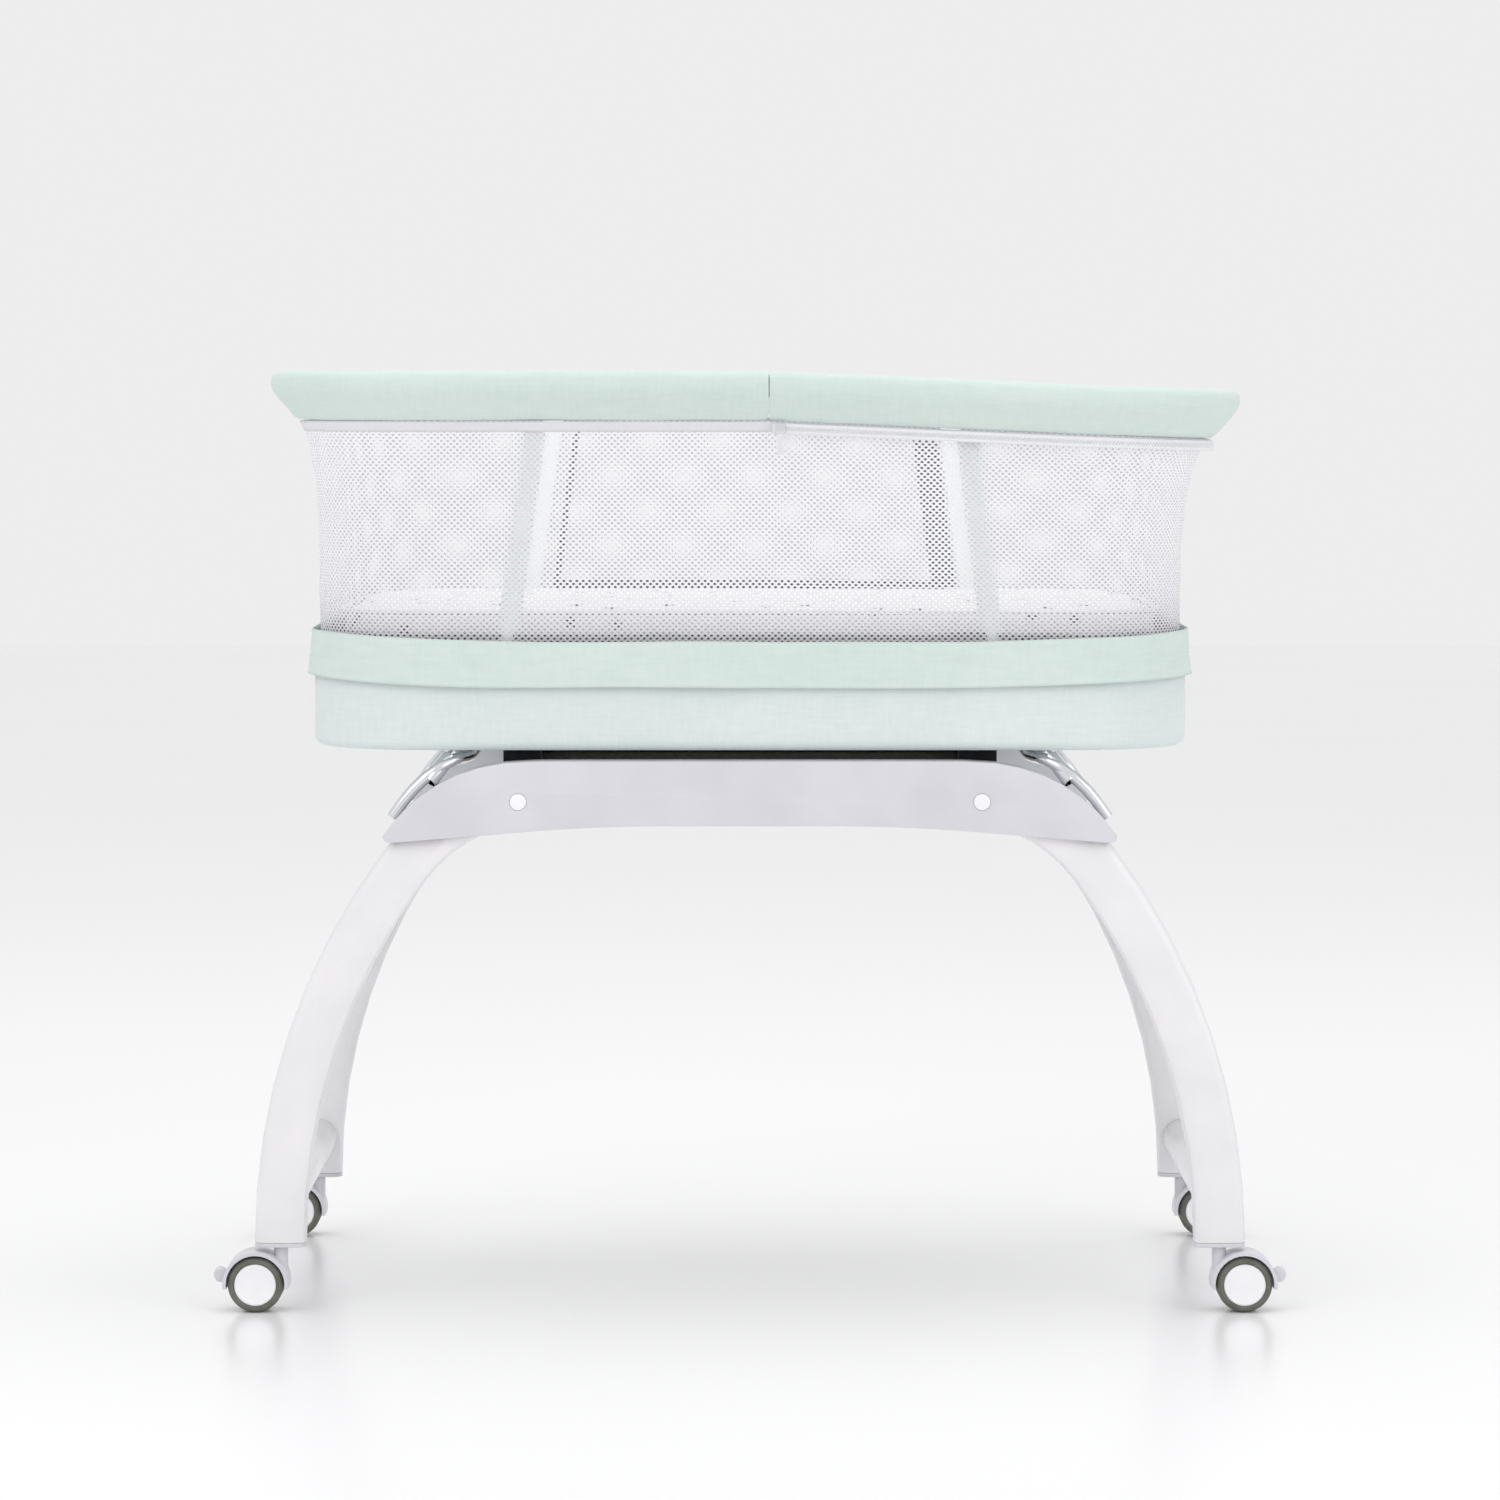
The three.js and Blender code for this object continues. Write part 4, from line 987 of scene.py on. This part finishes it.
def make_screw_caps():
    for side, way in SIDES:
        for end, _ in ENDS:
            node = f"{side}_{end}_screw_cap"
            low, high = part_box(node)
            centre = (low + high) / 2
            radius = (high.x - low.x) / 2
            half = (high.y - low.y) / 2
            profile = [(0, half), (0.5 * radius, half - 0.0001), (0.82 * radius, half - 0.0005),
                       (0.97 * radius, half - 0.0012), (radius, half - 0.002), (radius, -half),
                       (0, -half)]
            cap = lathed(f"{side}_{end}_cap_dome", [(r, way * a) for r, a in profile], centre,
                         HUB_ABS)
            finish_piece(cap, "stand", "moulded_white", node)


def make_hoop_ferrules():
    """A bright ferrule on each hoop leg, just outside the tray, where the tube steps down."""
    for end, way in ENDS:
        tube = [Vector(v.co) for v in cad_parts[f"{end}_carrier_hoop"].data.vertices]
        tube = [v for v in tube if abs(v.x) > FERRULE_IN - 0.03]
        for side, toward in SIDES:
            ends = []
            for reach in (FERRULE_IN, FERRULE_OUT):
                near = sorted((v for v in tube if v.y * toward > 0.1),
                              key=lambda v: abs(abs(v.x) - reach))[:8]
                ends.append(sum(near, Vector()) / len(near))
            along = (ends[1] - ends[0]).normalized()
            across = along.cross(Vector((0, 0, 1))).normalized()
            upward = across.cross(along)
            profile = ((0, 0.0061), (0.02, 0.0072), (0.9, 0.0072), (1, 0.0061))
            rows = [[ends[0].lerp(ends[1], t) + (across * math.cos(a) + upward * math.sin(a)) * r
                     for a in (2 * math.pi * k / 24 for k in range(24))] for t, r in profile]
            ferrule = grid_piece(f"{side}_{end}_hoop_ferrule", rows, BRIGHT_TUBE, across=True)
            ferrule.data.set_sharp_from_angle(angle=math.radians(30))
            finish_piece(ferrule, "stand", "bright_tube")


def make_rigid():
    for side, _ in SIDES:
        refined(f"{side}_beam_cover", "stand", WHITE_ABS, "moulded_white", 1.6)
        refined(f"{side}_beam_liner", "stand", WHITE_ABS, "moulded_white", 0.6)
        for end, _ in ENDS:
            refined(f"{side}_{end}_leg", "stand", WHITE_TUBE, "painted_tube", 0.3)
            refined(f"{side}_{end}_leg_plug", "stand", WHITE_ABS, "moulded_white", 0.5)
            refined(f"{side}_{end}_saddle", "stand", BLACK_RUBBER, "black_rubber", 0.5)
            refined(f"{side}_{end}_caster_body", f"{side}_{end}_caster", WHITE_ABS, "moulded_white",
                    0.5)
            refined(f"{side}_{end}_brake_lever", f"{side}_{end}_brake", WHITE_ABS, "moulded_white",
                    1.4)
    for end, _ in ENDS:
        refined(f"{end}_lower_cross_bar", "stand", WHITE_TUBE, "painted_tube", 0.4)
        refined(f"{end}_upper_rail", "stand", PLAIN_STEEL, "bare_steel", 1.2)
        refined(f"{end}_carrier_hoop", "stand", BRIGHT_TUBE, "bright_tube", 0)
    refined("stand_deck", "stand", DARK_BOARD, "dark_board", 1.2)
    refined("support_board", "bassinet", DARK_BOARD, "dark_board", 1.2)
    for node in ("base_frame", "head_rim_tube", "foot_rim_tube"):
        refined(node, "bassinet", PLAIN_STEEL, "bare_steel", 0)
    for node in ("front_rim_connector", "rear_rim_connector"):
        refined(node, "bassinet", WHITE_ABS, "moulded_white", 0.4)


# ------------------------------------------------------------------ stage


def make_stage():
    floor = new_piece("floor", [(-9, -9, 0), (9, -9, 0), (9, 14, 0), (-9, 14, 0)], [(0, 1, 2, 3)],
                      None)
    material, tree, shader = new_material("pale_floor", 0.22, Specular_IOR_Level=0.3)
    cloud = speckle(tree, 900, place(tree), detail=1)
    set_colour(tree, shader, "#f7f7f8", "#fbfbfc", cloud.outputs[0])
    floor.data.materials.clear()
    floor.data.materials.append(material)

    world = bpy.data.worlds.new("studio")
    world.use_nodes = True
    world.node_tree.nodes["Background"].inputs[0].default_value = (1.0, 1.0, 1.0, 1.0)
    world.node_tree.nodes["Background"].inputs[1].default_value = 0.85
    bpy.context.scene.world = world
    for name, place_at, aim, size, power in (
        ("key", (-2.4, -3.6, 3.4), (0, 0, 0.5), 2.6, 36),
        ("fill", (3.2, -3.0, 2.0), (0, 0, 0.5), 2.6, 22),
        ("top", (0.2, 0.6, 4.0), (0, 0, 0.4), 3.0, 34),
    ):
        data = bpy.data.lights.new(name, "AREA")
        data.size = size
        data.energy = power
        lamp = bpy.data.objects.new(name, data)
        lamp.location = place_at
        lamp.rotation_euler = (Vector(aim) - Vector(place_at)).to_track_quat("-Z", "Y").to_euler()
        bpy.context.scene.collection.objects.link(lamp)
    bpy.context.scene.view_settings.view_transform = "Standard"


make_nets()
make_posts()
make_rear_window_painted_shadow()
make_rim()
make_net_hem()
make_net_foot_painted_shadow()
make_cuff()
make_tray()
make_mattress()
make_zip()
make_wheels()
make_screw_caps()
make_hoop_ferrules()
make_rigid()
make_stage()
